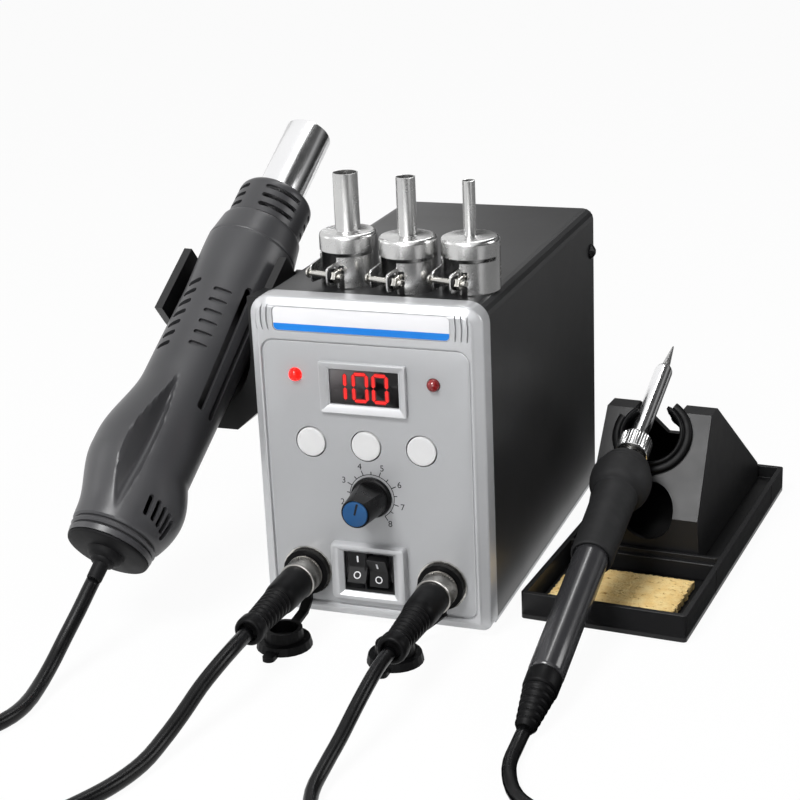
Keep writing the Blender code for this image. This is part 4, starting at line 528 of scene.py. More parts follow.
# Lacquered transformer laminations.
IRON_CORE = look("lacquered_laminations", ("#2a2623", "#3a342f"), (0.4, 0.6), 9.0, 1.2,
                 (0.5, 0.06), stretch=(1, 1, 0.15))
# Porous ceramic of the heater's former.
CERAMIC = look("fired_ceramic", ("#cbbfa6", "#ddd2bb"), (0.6, 0.8), 6.0, 3.0, (0.4, 0.03))


def sponge_look():
    """Cellulose sponge: honey yellow, flecked darker by painted shade in its holes, and pale fibres.
    """
    made = look("cellulose_sponge", ("#ecc884", "#f6dc9e"), (0.85, 0.95), 5.0, 3.0,
                (0.9, 0.25), specular=0.15)
    tree = made.node_tree
    shader = tree.nodes["Principled BSDF"]
    tone = shader.inputs["Base Color"].links[0].from_socket
    # Painted shade: dark flecks for the shade inside the sponge's holes.
    pore_shade = ramp(tree, grain(tree, 1.5, 4.0, (1.6, 1.0, 1.0), (0.2, 0.4, 0.6)),
                 ((0.30, "#a88448"), (0.42, "#ffffff")))
    mixed = node(tree, "ShaderNodeMix", {"data_type": "RGBA", "blend_type": "MULTIPLY"})
    mixed.inputs["Factor"].default_value = 1.0
    tree.links.new(tone, mixed.inputs["A"])
    tree.links.new(pore_shade, mixed.inputs["B"])
    tree.links.new(mixed.outputs["Result"], shader.inputs["Base Color"])
    return made


def window_look():
    """The smoked window: near black, with a painted reflection, grey, fading down from its upper
    left.
    """
    made = look("display_window_painted_reflection", ("#050203", "#080304"), (0.08, 0.12), 20.0, 9.0,
                (3.0, 0.001), specular=0.3)
    tree = made.node_tree
    shader = tree.nodes["Principled BSDF"]
    where = node(tree, "ShaderNodeTexCoord")
    split = node(tree, "ShaderNodeSeparateXYZ", links={"Vector": where.outputs["Object"]})
    centre = BOX @ Vector((-0.0010, 0.0, 0.1060))
    slant = node(tree, "ShaderNodeMath", {"operation": "MULTIPLY_ADD"},
                 {0: split.outputs["Z"]})
    slant.inputs[1].default_value = 0.70
    slant.inputs[2].default_value = -0.70 * centre.z
    cross = node(tree, "ShaderNodeMath", {"operation": "SUBTRACT"},
                 {0: slant.outputs[0], 1: split.outputs["X"]})
    level = node(tree, "ShaderNodeMapRange", {"From Min": -centre.x - 0.0165,
                                              "From Max": -centre.x + 0.0210},
                 {"Value": cross.outputs[0]})
    # Painted reflection: grey on the upper left side of a slanting line, near black below it.
    painted_reflection = ramp(tree, level.outputs["Result"], ((0.385, "#060304"), (0.40, "#3a3637"),
                                                 (0.85, "#5b5758"), (1.0, "#666667")))
    fade = node(tree, "ShaderNodeMapRange", {"From Min": centre.z - 0.0085,
                                             "From Max": centre.z + 0.0070},
                {"Value": split.outputs["Z"]})
    # The painted reflection fades out towards the window's foot.
    mixed = node(tree, "ShaderNodeMix", {"data_type": "RGBA"}, {"Factor": fade.outputs["Result"]})
    mixed.inputs["A"].default_value = hexed("#060304")
    tree.links.new(painted_reflection, mixed.inputs["B"])
    tree.links.new(mixed.outputs["Result"], shader.inputs["Base Color"])
    return made


SPONGE = sponge_look()
DISPLAY_GLASS = window_look()

CAD_LOOKS = {
    "chassis_pan": ZINC, "case_cover": CASE_PAINT, "front_panel": SILVER,
    "cover_screw_left": BLACK_STEEL, "cover_screw_right": BLACK_STEEL, "control_board": BOARD,
    "display_window": SMOKED, "led_rework": RED_EPOXY, "led_solder": RED_EPOXY,
    "button_up": WHITE_PLASTIC, "button_down": WHITE_PLASTIC, "button_set": WHITE_PLASTIC,
    "potentiometer": ZINC, "air_knob": BLACK_PLASTIC, "knob_cap": BLUE_PLASTIC,
    "switch_housing": BLACK_PLASTIC, "rocker_rework": BLACK_PLASTIC,
    "rocker_solder": BLACK_PLASTIC, "socket_rework": NICKEL, "socket_solder": NICKEL,
    "dust_cap_rework": RUBBER, "dust_cap_solder": RUBBER, "coupling_ring_rework": NICKEL,
    "coupling_ring_solder": NICKEL, "plug_rework": RUBBER, "plug_solder": RUBBER,
    "mains_inlet": BLACK_PLASTIC, "transformer": IRON_CORE, "gun_shell_upper": GUN_PLASTIC,
    "gun_shell_lower": GUN_PLASTIC, "gun_end_cap": GUN_PLASTIC, "gun_guard": BLACK_PLASTIC,
    "gun_tube": POLISHED, "gun_heater": CERAMIC, "gun_motor": ZINC, "gun_fan": BLACK_PLASTIC,
    "gun_holder": HOLDER_PLASTIC, "nozzle_large": STAMPED, "nozzle_medium": STAMPED,
    "nozzle_small": STAMPED, "clamp_screw_large": NICKEL, "clamp_screw_medium": NICKEL,
    "clamp_screw_small": NICKEL, "stand_base": BLACK_PLASTIC, "stand_tower": BLACK_PLASTIC,
    "stand_ring": RUBBER, "sponge": SPONGE, "iron_barrel": POLISHED, "iron_tip": STAMPED,
    "iron_nut": NICKEL, "iron_grip": GRIP_RUBBER, "iron_handle": HANDLE_GLOSS,
    "iron_boot": RUBBER,
}
for name, finish_look in CAD_LOOKS.items():
    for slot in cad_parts[name].material_slots:
        slot.material = finish_look


# Cords

def coil_path(centre, knots, start, sense, spacing):
    """A coil from (turned degrees, radius, height) knots, beginning at an angle."""
    points = []
    steps = int(knots[-1][0] / spacing)
    for step in range(steps + 1):
        turned = knots[-1][0] * step / steps
        for (a0, r0, z0), (a1, r1, z1) in zip(knots, knots[1:]):
            if turned <= a1 + 1e-6:
                share = smooth_step((turned - a0) / (a1 - a0))
                radius, height = between(r0, r1, share), between(z0, z1, share)
                break
        angle = math.radians(start + sense * turned)
        points.append(Vector((centre.x + radius * math.cos(angle),
                              centre.y + radius * math.sin(angle), height)))
    return points


def cord_mesh(name, path, diameter):
    """A round cord along a path; its 14 sides are shaded round."""
    bm = bmesh.new()
    sweep(bm, path, circle(diameter / 2, 14))
    return finish(name, bm, CORD_PVC, None, 180)


def tie(name, spot, width, height):
    """A hook-and-loop tie round a coil's bundle, from the bundle's width and height in metres."""
    outer = rounded(width / MM + 1.6, height / MM + 1.6, 2.6)
    inner = rounded(width / MM + 0.4, height / MM + 0.4, 2.0)
    bm = bmesh.new()
    ring_loops(bm, [(outer, -7.0), (outer, 7.0), (inner, 7.0), (inner, -7.0)],
               Matrix.Translation(spot) @ turn("X", 90) @ turn("Y", 90))
    return finish(name, bm, TIE_FABRIC, "station", 50)


# Woven nylon of the ties: fine ribs, no shine.
TIE_FABRIC = look("woven_nylon_tie", ("#17171a", "#232327"), (0.75, 0.9), 3.0, 1.0,
                  (0.6, 0.12), specular=0.2)


ROUTE_STEP = 4 * MM
TIE_RISE = 0.6 * MM


def on_box(points):
    return [BOX @ Vector(point) for point in points]


ground = GUN_CORD_D / 2 + 0.3 * MM
upper = ground + GUN_CORD_D
rim, near, far = (GUN_COIL_R + share * GUN_CORD_D for share in (1.545, -0.5, 0.5))
gun_coil = coil_path(GUN_COIL, (
    (0, rim, ground), (60, far, ground), (365, far, ground), (420, near, ground),
    (690, near, ground), (740, near, upper), (1045, near, upper), (1100, far, upper),
    (1415, far, upper), (1460, rim, upper), (1500, rim, upper), (1545, rim, ground),
    (1620, rim, ground)), 180, 1, 9.0)
gun_path = smooth_route(on_box(GUN_TAIL), ROUTE_STEP)[:-1] + gun_coil
gun_cord = cord_mesh("gun_cord", gun_path, GUN_CORD_D)
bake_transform(gun_cord)
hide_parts("gun_cord_tail", "gun_cord_coil")
gun_tie = tie("gun_cord_tie", GUN_COIL + Vector((0, GUN_COIL_R, GUN_CORD_D + TIE_RISE)),
              2 * GUN_CORD_D, 2 * GUN_CORD_D)

gun_lead_path = smooth_route(on_box(GUN_LEAD), ROUTE_STEP)
gun_lead = cord_mesh("gun_cord_lead_skin", gun_lead_path, GUN_CORD_D)
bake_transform(gun_lead)
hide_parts("gun_cord_lead")

ground = IRON_CORD_D / 2 + 0.3 * MM
upper = ground + 0.87 * IRON_CORD_D
over = ground + IRON_CORD_D
rim, outer, middle, inner, low, high = (IRON_COIL_R + share * IRON_CORD_D for share in
                                        (2.055, 1.0, 0.0, -1.0, -0.5, 0.5))
iron_coil = coil_path(IRON_COIL, (
    (0, rim, ground), (60, outer, ground), (365, outer, ground), (420, middle, ground),
    (725, middle, ground), (780, inner, ground), (1050, inner, ground), (1100, low, upper),
    (1405, low, upper), (1460, high, upper), (1775, high, upper), (1820, rim, over),
    (1860, rim, over), (1905, rim, ground), (1980, rim, ground)), 0, -1, 9.0)
iron_path = smooth_route(on_box(IRON_TAIL), ROUTE_STEP)[:-1] + iron_coil
iron_cord = cord_mesh("iron_cord", iron_path, IRON_CORD_D)
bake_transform(iron_cord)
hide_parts("iron_cord_tail", "iron_cord_coil")
iron_tie = tie("iron_cord_tie",
               IRON_COIL + Vector((0, -IRON_COIL_R, 0.93 * IRON_CORD_D + TIE_RISE)),
               3 * IRON_CORD_D, 1.87 * IRON_CORD_D)

iron_lead_path = smooth_route(on_box(IRON_LEAD), ROUTE_STEP)
iron_lead = cord_mesh("iron_cord_lead_skin", iron_lead_path, IRON_CORD_D)
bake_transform(iron_lead)
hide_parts("iron_cord_lead")


# Hot-air gun

GUN = BOX @ shift(-102.1, -39.8, 41.3) @ turn("Z", -7.15) @ turn("X", -52.7)
GUN_R = 19.6
GUN_WALL = 2.2
SEAM_GAP = 0.08
SEAM = math.radians(-37.0)  # where the two halves meet, round the handle
HOLLOW_LOW = 11.2
HOLLOW_HIGH = 79.7
HOLLOW_DEPTH = 3.8
BELLY_RISE = 6.4
HEEL_RISE = 4.2
HEEL_AT = math.radians(-26.0)
GROOVES = (3.3, 6.1)
COLLAR_SEAM = 156.6


def around(theta, z, radius=0.0):
    """A place on the gun: local Z points outwards, local X round it and local Y to its tip."""
    outwards = Vector((math.cos(theta), -math.sin(theta), 0.0))
    along = Vector((0.0, 0.0, 1.0))
    basis = Matrix((along.cross(outwards), along, outwards)).transposed().to_4x4()
    return GUN @ Matrix.Translation((outwards * radius + along * z) * MM) @ basis


def collar(z):
    """How the handle's plain radius swells towards the tip and rounds off at both ends."""
    swell = 1.5 * smooth_step((z - 122) / 34)
    if z > 157.2:
        swell -= 2.2 * (z - 157.2) / 12.8 + 0.9 * max(0.0, z - 168.6) ** 2
    swell -= 0.3 * bell(z, COLLAR_SEAM, 0.30)
    if z < 13.0:
        swell -= 1.5 * ((13.0 - z) / 13.0) ** 1.6
    for groove in GROOVES:
        swell -= 1.5 * bell(z, groove, 0.42)
    return swell


def gun_radius(theta, z):
    """The moulded handle: a round grip, a belly with its finger hollow, and a vented heel."""
    share = (z - HOLLOW_LOW) / (HOLLOW_HIGH - HOLLOW_LOW)
    rise = smooth_step((z - 11) / 29) if z < 43 else smooth_step((80.5 - z) / 35)
    belly = BELLY_RISE * rise
    if 0.0 < share < 1.0:
        crest = math.radians(65 + 5 * share + 17.5 * math.sin(math.pi * share ** 0.65))
        foot = math.radians(65 + 5 * share - 8.5 * math.sin(math.pi * share))
        climb = min(1.0, max(0.0, (theta - foot) / (crest - foot)))
        deep = HOLLOW_DEPTH * math.sin(math.pi * share) * math.sin(math.pi * climb ** 0.8)
    else:
        climb = 1.0 if theta > math.radians(67) else 0.0
        deep = 0.0
    back = smooth_step((math.radians(262) - theta) / math.radians(62))
    heel = 0.0
    if 6.0 < z < 38.0:
        heel = (math.sin(math.pi / 2 * (38 - z) / 16) if z > 22
                else math.cos(math.pi / 2 * (22 - z) / 16))
    off = (theta - HEEL_AT + math.pi) % math.tau - math.pi
    heel *= HEEL_RISE * bell(off, 0.0, math.radians(50))
    return GUN_R + collar(z) + belly * climb ** 1.5 * back - deep + heel


def gun_rows():
    """Heights of the handle's rings: close together at the grooves and the shoulder."""
    rows = [0.0, 1.2, 2.4]
    rows += [2.9 + 0.2 * step for step in range(5)] + [4.7]
    rows += [5.7 + 0.2 * step for step in range(5)] + [7.4]
    rows += [8.6 + 1.55 * step for step in range(94)]
    rows += [154.4, 155.8, 156.2, 156.4, 156.6, 156.8, 157.0, 157.3]
    rows += [158.6 + 1.4 * step for step in range(7)]
    return rows + [168.5, 169.1, 169.6, 170.0]


def make_handle_half(name, start):
    """Half of the handle as one lofted wall, from the seam round to the seam."""
    columns = 90
    bm = bmesh.new()
    slit = SEAM_GAP / GUN_R
    loops = []
    for z in gun_rows():
        outer, inner = [], []
        for column in range(columns + 1):
            theta = SEAM + start + slit + (math.pi - 2 * slit) * column / columns
            radius = gun_radius(theta, z)
            spot = Vector((math.cos(theta), -math.sin(theta), 0.0))
            outer.append(GUN @ ((spot * radius + Vector((0, 0, z))) * MM))
            inner.append(GUN @ ((spot * (radius - GUN_WALL) + Vector((0, 0, z))) * MM))
        loops.append(outer + inner[::-1])
    loft(bm, loops, caps=False)
    bm.verts.ensure_lookup_table()
    size = 2 * (columns + 1)
    for first in (0, len(bm.verts) - size):
        for column in range(columns):
            bm.faces.new([bm.verts[first + index] for index in
                          (column, column + 1, size - 2 - column, size - 1 - column)])
    return finish(name, bm, GUN_PLASTIC, "hot_air_gun", 32, [name.replace("_skin", "")])


def cut_openings(piece, spots, deep=4.5):
    """Cuts round-ended slots: (place, length round, length along) for each."""
    bm = bmesh.new()
    for place, across, along in spots:
        round_end = 0.995 * min(across, along) / 2
        prism(bm, rounded(across, along, round_end, 7), -deep, 4.5, place)
    cut(piece, bm)


# The upper half carries a row of blind dimples, seven slots, two long slots and the heel's vents.
upper_shell = make_handle_half("gun_shell_upper_skin", 0.0)
make_handle_half("gun_shell_lower_skin", math.pi)
dimples = []
for row in range(6):
    theta, height = math.radians(65 - 0.3 * row), 123.4 - 5.8 * row
    dimples.append((around(theta, height, gun_radius(theta, height)), 8.6, 2.1))
cut_openings(upper_shell, dimples, 1.9)
slots = [(around(math.radians(113 + 0.3 * row), 126.4 - 5.72 * row, GUN_R) @ turn("Z", 14),
          8.0, 2.5) for row in range(7)]
slots.append((around(math.radians(30.0), 99.2, GUN_R) @ turn("Z", 2.6), 3.7, 62.8))
slots.append((around(math.radians(8.0), 98.0, GUN_R) @ turn("Z", 2.6), 3.0, 62.0))
for height, angle in ((18.1, 33), (17.7, 22), (16.7, 12.5), (15.6, 4), (13.9, -3.5)):
    slots.append((around(math.radians(angle), height, GUN_R + 2) @ turn("Z", 4), 2.4, 9.4))
cut_openings(upper_shell, slots)

# The end cap closes the handle's rear; its stepped gland grips the cord.
turned_piece("gun_end_cap_skin", [
    (0.0, 3.0), (15.2, 3.0), (15.2, 0.2), (17.6, 0.0), (18.0, -0.5), (17.7, -1.1), (16.8, -1.5),
    (8.2, -1.9), (7.9, -2.6), (7.6, -3.8), (6.6, -4.9), (5.4, -5.3), (5.2, -6.2), (4.6, -6.9),
    (3.6, -7.2), (3.3, -7.8), (3.25, -13.9), (3.0, -14.5), (0.0, -14.4)],
    72, GUN, CAP_PLASTIC, "hot_air_gun", 38, ["gun_end_cap"])

# The heat guard with four rows of four curved slots, then the steel tube inside it.
guard = turned_piece("gun_guard_skin", [
    (17.6, 163.0), (17.6, 186.4), (17.3, 187.8), (16.5, 189.0), (15.3, 189.8), (13.9, 190.0),
    (11.7, 190.0), (11.7, 188.2), (13.9, 188.2), (15.0, 187.8), (15.8, 186.9), (15.9, 186.0),
    (15.9, 163.0)], 144, GUN, GUN_PLASTIC, "hot_air_gun", 40, ["gun_guard"])
SLOT_HALF = 1.1
SLOT_SPREAD = math.radians(27.0)
bm = bmesh.new()
for row in range(4):
    height = 184.0 - 5.0 * row
    for quarter in range(4):
        middle = math.radians(47.0 + 90 * quarter)
        ring = []
        for radius, order in ((14.0, 1), (19.5, -1)):
            for step in range(13)[::order]:
                angle = middle + SLOT_SPREAD * (step / 6 - 1)
                ring.append((radius * math.cos(angle), -radius * math.sin(angle)))
        prism(bm, ring, height - SLOT_HALF, height + SLOT_HALF, GUN)
        for side in (-1, 1):
            end = around(middle + side * SLOT_SPREAD, height, 17.0)
            prism(bm, circle(SLOT_HALF, 12), -4, 4, end)
cut(guard, bm)
turned_piece("gun_tube_skin", [(10.9, 148.0), (11.0, 148.4), (11.0, 229.5), (10.7, 229.95),
                               (10.4, 229.9), (10.2, 229.4), (10.2, 148.0)],
             96, GUN, POLISHED, "hot_air_gun", 40, ["gun_tube"])


# Front panel

def tombstone(width, low, high, top_radius, bottom_radius, inset=0.0, steps=10):
    """A rectangle from low to high with its own radius at the top and at the bottom."""
    points = []
    for corner in range(4):
        sx, top = ((1, True), (-1, True), (-1, False), (1, False))[corner]
        radius = max(0.2, (top_radius if top else bottom_radius) - inset)
        for step in range(steps + 1):
            angle = math.radians(90.0) * (corner + step / steps)
            y = high - inset - radius if top else low + inset + radius
            points.append((sx * (width / 2 - inset - radius) + radius * math.cos(angle),
                           y + radius * math.sin(angle)))
    return points


# Where the panel's pieces stand on it, in millimetres from its middle and its underside.
LAMPS = (("led_rework", -30.6, 110.1), ("led_solder", 29.1, 109.8))
BUTTONS = (("up", -25.3), ("down", -1.1), ("set", 23.0))
BUTTON_HEIGHT = 81.2
SOCKETS = (("rework", -30.0), ("solder", 30.0))
SOCKET_HEIGHT = 23.2
DISPLAY = facing(-1.0, 106.0)
DIAL = facing(0.5, 59.2)
PLATE = facing(-1.0, 0.0)


def bezel(inset):
    return tombstone(100.0, 3.0, 142.5, 8.5, 4.0, inset)


def field(inset):
    return tombstone(89.0, 9.5, 124.5, 5.2, 3.6, inset)


def window(width, height):
    return rounded(width, height, 0.4, 3)


def moved(outline, x, y):
    return [(px + x, py + y) for px, py in outline]


bm = bmesh.new()
rings = [(bezel(inset), height) for inset, height in (
    (3.0, -11.4), (0.0, -11.4), (0.0, -3.7), (0.10, -3.2), (0.40, -2.75), (0.9, -2.4),
    (3.1, -0.95), (3.5, -0.62), (3.75, -0.30), (4.0, -0.10), (4.35, 0.0))]
rings += [(field(inset), height) for inset, height in (
    (-0.85, 0.0), (-0.70, -0.06), (-0.55, -0.30), (-0.50, -1.25), (-0.10, -1.45), (0.10, -1.40),
    (0.20, -0.90), (0.50, -0.80))]
ring_loops(bm, rings, facing(0.0, 0.0), capped=True)
panel = finish("front_panel_skin", bm, [SILVER, SILVER_DARK], "station", 40, ["front_panel"])
for face in panel.data.polygons:  # the sunk field is its one face with many corners
    if len(face.vertices) > 6 and face.normal.y < -0.9:
        face.material_index = 1

bm = bmesh.new()
prism(bm, tombstone(76.2, 128.5, 138.9, 2.2, 2.2, 0.0, 6), -0.75, 3.0, PLATE)
for side in (-1, 1):
    for index in range(3):
        groove = []
        for half in (1, -1):
            for step in range(9):
                share = (step / 4 - 1) * half
                bow = 0.55 * (1 - share * share) * side
                groove.append((half * 0.42 * (1 - 0.7 * share ** 6) + bow, share * 5.4))
        prism(bm, groove, -1.1, 3.0, PLATE @ shift(side * (40.0 + 2.5 * index), 134.0, 0.0))
cut(panel, bm)
bm = bmesh.new()
holes = [(window(31.0, 17.0), DISPLAY), (window(27.4, 20.6), facing(-3.6, 26.6)),
         (circle(3.7), DIAL)]
holes += [(circle(2.9), facing(x, z)) for name, x, z in LAMPS]
holes += [(circle(6.2, 40), facing(x, SOCKET_HEIGHT)) for name, x in SOCKETS]
holes += [(circle(6.75, 72), facing(x, BUTTON_HEIGHT)) for name, x in BUTTONS]
for outline, place in holes:
    prism(bm, outline, -8.0, 8.0, place)
cut(panel, bm)

# The name plate stays bare: a white strip with a blue band along its foot.
bm = bmesh.new()
prism(bm, tombstone(75.7, 128.75, 138.65, 2.0, 2.0, 0.0, 6), -0.70, -0.25, PLATE, 0.12)
finish("name_plate", bm, WHITE_PRINT, "station", 40)
bm = bmesh.new()
prism(bm, tombstone(75.4, 128.9, 131.8, 0.15, 1.9, 0.0, 6), -0.40, -0.21, PLATE)
finish("name_plate_band", bm, BLUE_PRINT, "station", 40)

# Display: a bevelled frame, the smoked window with its painted reflection, and lit segments that
# read 100.
bm = bmesh.new()
rings = [((37.6, 22.0, 0.7), -0.9), ((37.6, 22.0, 0.7), 0.55), ((37.2, 21.6, 0.6), 0.9),
         ((36.8, 21.2, 0.5), 1.0), ((36.2, 20.6, 0.5), 0.95), ((31.4, 16.2, 0.4), -0.95),
         ((30.1, 15.1, 0.3), -1.15), ((30.0, 15.0, 0.3), -3.6), ((34.0, 18.0, 0.3), -3.6)]
ring_loops(bm, [(rounded(*outline, 4), height) for outline, height in rings], DISPLAY)
finish("display_frame", bm, SILVER, "station", 30)
bm = bmesh.new()
prism(bm, window(29.8, 14.8), -3.2, -1.7, DISPLAY, 0.1)
finish("display_window_skin", bm, DISPLAY_GLASS, "station", 40, ["display_window"])


# Each bar of a digit: its middle across and up, its length, and whether it stands upright.
BARS = {"A": (0.0, 5.7, 5.3, False), "D": (0.0, -5.7, 5.3, False), "B": (2.85, 2.9, 5.2, True),
        "C": (2.85, -2.9, 5.2, True), "F": (-2.85, 2.9, 5.2, True), "E": (-2.85, -2.9, 5.2, True),
        "upper one": (0.0, 2.9, 5.2, True), "lower one": (0.0, -2.9, 5.2, True)}


def show_digits(name, material, wide, low, high, grow):
    """The reading's bars as long hexagons, from low to high; grow lengthens each bar."""
    bm = bmesh.new()
    for middle, bars in ((-8.3, ("upper one", "lower one")), (-1.7, "ABCDEF"), (6.9, "ABCDEF")):
        for bar in bars:
            x, y, length, upright = BARS[bar]
            half, thick = (length + grow) / 2, wide / 2
            outline = [(-half, 0.0), (-half + thick, -thick), (half - thick, -thick),
                       (half, 0.0), (half - thick, thick), (-half + thick, thick)]
            if upright:
                outline = [(-py, px) for px, py in outline]
            prism(bm, moved(outline, middle + x, y), low, high, DISPLAY)
    finish(name, bm, material, "station", 40)


# Painted glow: wider bars that shine just under the lit ones, as their halo in the window.
show_digits("display_glow", DIGIT_HALO_PAINTED_GLOW, 2.1, -1.70, -1.66, 0.75)
show_digits("display_digits", DIGIT_LIGHT, 1.15, -1.66, -1.60, 0.0)

# Indicator lamps: the left one lit.
for (name, x, z), material in zip(LAMPS, (LAMP_LIT, RED_EPOXY)):
    profile = [(0.0, -4.5), (2.7, -4.5)]
    profile += [(2.7 * math.cos(math.radians(10.0 * step)),
                 -0.6 + 2.6 * math.sin(math.radians(10.0 * step))) for step in range(9)]
    turned_piece(name + "_skin", profile + [(0.0, 2.0)], 40, facing(x, z), material, "station",
                 60, [name])

# Push buttons, flush in their holes with a thin dark gap round them.
for name, x in BUTTONS:
    turned_piece("button_" + name + "_skin", [
        (0.0, -0.30), (3.0, -0.26), (5.0, -0.22), (5.85, -0.24), (6.12, -0.36), (6.22, -0.62),
        (6.22, -4.5), (0.0, -4.5)], 72, facing(x, BUTTON_HEIGHT), WHITE_PLASTIC,
        name + "_button", 40, ["button_" + name])

# Air knob: a tapered black body with a skirt, and a blue cap with a dark pointer line.
KNOB = DIAL @ turn("Z", -15)
knob = turned_piece("air_knob_skin", [
    (3.9, -0.4), (8.6, -0.45), (8.8, -0.3), (8.8, 0.9), (8.55, 1.35), (7.95, 1.6), (7.65, 2.0),
    (6.25, 17.7), (6.1, 18.3), (5.75, 18.55), (5.6, 18.5), (5.55, 18.2), (3.2, 18.2), (3.2, 3.4)],
    96, KNOB, KNOB_PLASTIC, "knob", 30, ["air_knob"])
bm = bmesh.new()
add_box(bm, (-9.0, 5.7, 2.6), (9.0, 12.0, 21.5), KNOB)
cut(knob, bm)
soften(knob, 0.2, 2, 30.0)
turned_piece("knob_cap_skin", [(0.0, 19.2), (4.9, 19.15), (5.25, 19.0), (5.4, 18.6), (5.4, 18.1),
                               (0.0, 18.1)], 72, KNOB, BLUE_PLASTIC, "knob", 40, ["knob_cap"])
bm = bmesh.new()
add_box(bm, (-0.42, -0.2, 19.0), (0.42, 4.9, 19.3), KNOB)
finish("knob_pointer", bm, INK, "knob", 40)


def letters(bm, text, height, place):
    """Adds plain figures, standing 0.04 mm proud, with their middle at the place."""
    curve = bpy.data.curves.new("figures", "FONT")
    curve.body = text
    curve.size = height * MM / 0.70  # a figure is 0.70 of the font's size
    curve.align_x = "CENTER"
    curve.align_y = "CENTER"
    curve.extrude = 0.02 * MM
    writer = bpy.data.objects.new("figures", curve)
    bpy.context.scene.collection.objects.link(writer)
    bpy.context.view_layer.update()
    mesh = bpy.data.meshes.new_from_object(
        writer.evaluated_get(bpy.context.evaluated_depsgraph_get()))
    mesh.transform(place)
    bm.from_mesh(mesh)
    bpy.data.objects.remove(writer)
    bpy.data.curves.remove(curve)
    bpy.data.meshes.remove(mesh)


# The dial printed round the knob: an arc, long and short ticks, and the figures 1 to 8.
bm = bmesh.new()
arc = []
for radius, order in ((9.55, 1), (9.85, -1)):
    for step in range(61)[::order]:
        angle = math.radians(90.0 + 147.0 - 4.9 * step)
        arc.append((radius * math.cos(angle), radius * math.sin(angle)))
prism(bm, arc[::-1], -0.80, -0.76, DIAL)
for tick in range(15):
    lean = turn("Z", 147.0 - 21.0 * tick)
    add_box(bm, (-0.19, 9.7, -0.80), (0.19, 11.1 if tick % 2 else 11.9, -0.76), DIAL @ lean)
    if tick % 2 == 0:
        letters(bm, str(tick // 2 + 1), 2.7,
                DIAL @ lean @ shift(0.0, 13.7, -0.78) @ lean.inverted())
finish("dial_print", bm, INK, "station", 40)

# Rocker switches: the raised surround, then two rockers with their marks.
SWITCH = facing(-1.8, 25.4)
rings = [((33.2, 25.2, 1.8), -0.9), ((33.2, 25.2, 1.8), 1.4), ((32.9, 24.9, 1.7), 2.2),
         ((32.2, 24.2, 1.5), 2.8), ((31.2, 23.2, 1.2), 3.0), ((26.6, 21.2, 0.6), 3.0),
         ((26.1, 20.8, 0.5), 2.85), ((22.9, 18.3, 0.4), 1.45), ((22.3, 17.8, 0.3), 1.2),
         ((22.2, 17.7, 0.3), 1.05), ((22.2, 17.7, 0.3), 0.30), ((31.6, 24.0, 0.3), 0.30),
         ((31.6, 24.0, 0.3), -0.9)]
bm = bmesh.new()
ring_loops(bm, [(rounded(*outline, 4), height) for outline, height in rings], SWITCH)
finish("switch_surround", bm, SILVER, "station", 30)
soften(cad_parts["switch_housing"], 0.25, 3)
ROCKER_PITCH = 12.6
ROCKER_HALF = 6.7      # half its height
ROCKER_RIM = 5.8       # how far its ends stand out of the pivot
ROCKER_HOLLOW = 3.75   # and its middle
ROCKER_WIDTH = 8.5
ROCKER_TILT = 11.0
MARK_RISE = 0.06


def make_rocker(side, name, aside):
    """A rocker with a bar and a ring on it, set aside along its pivot from the solid's middle."""
    pivot = (BOX @ shift(-3.6 + side * ROCKER_PITCH / 2, 3.5, 26.6)
             @ turn("X", ROCKER_TILT * side) @ turn("X", 90.0))
    bm = bmesh.new()
    prism(bm, [(-ROCKER_HALF, 1.0), (ROCKER_HALF, 1.0), (ROCKER_HALF, ROCKER_RIM),
               (0.0, ROCKER_HOLLOW), (-ROCKER_HALF, ROCKER_RIM)], aside - ROCKER_WIDTH / 2,
          aside + ROCKER_WIDTH / 2, pivot @ turn("Z", 90) @ turn("X", 90))
    rocker = finish("rocker_" + name + "_skin", bm, BLACK_PLASTIC, name + "_rocker", 30,
                    ["rocker_" + name])
    soften(rocker, 0.4, 3, 10.0)
    slope = math.degrees(math.atan2(2.1, 6.8))
    upper = pivot @ shift(aside, 3.5, 4.84) @ turn("X", slope)
    lower = pivot @ shift(aside, -3.4, 4.81) @ turn("X", -slope)
    bm = bmesh.new()
    prism(bm, rounded(0.75, 3.0, 0.3, 3), -0.02, MARK_RISE, upper)
    ring_loops(bm, [(circle(1.15, 28), -0.02), (circle(1.15, 28), MARK_RISE),
                    (circle(1.6, 28), MARK_RISE), (circle(1.6, 28), -0.02)], lower)
    finish("rocker_marks_" + name, bm, WHITE_PRINT, name + "_rocker", 40)


make_rocker(-1, "rework", 3.0)
make_rocker(1, "solder", -0.5)


# Connectors: knurled coupling rings and ribbed rubber boots

def knurled(bm, place, radius, low, high, bore):
    """A nickel ring with smooth beads at both ends and a crossed knurl between them."""
    teeth, rows, depth, bead = 44, 8, 0.70, 0.7
    pitch = (high - low - 2 * bead) / rows
    profile = [(bore, low), (radius - 0.5, low), (radius - 0.1, low + 0.15),
               (radius, low + 0.4), (radius, low + bead), (radius - 0.25, low + bead)]
    profile += [(radius - 0.05, low + bead + (row + 0.5) * pitch) for row in range(rows)]
    profile += [(radius - 0.25, high - bead), (radius, high - bead), (radius, high - 0.4),
                (radius - 0.1, high - 0.15), (radius - 0.5, high), (bore, high)]
    made = spin_profile(bm, profile, None, teeth * 2)
    for vert in made:
        row = (vert.co.z / MM - low - bead) / pitch
        if 0.4 < row < rows - 0.4 and (round(row - 0.5) + angle_step(vert, teeth * 2)) % 2:
            vert.co.xy *= 1 - depth * MM / vert.co.xy.length
    bmesh.ops.transform(bm, matrix=place, verts=made)


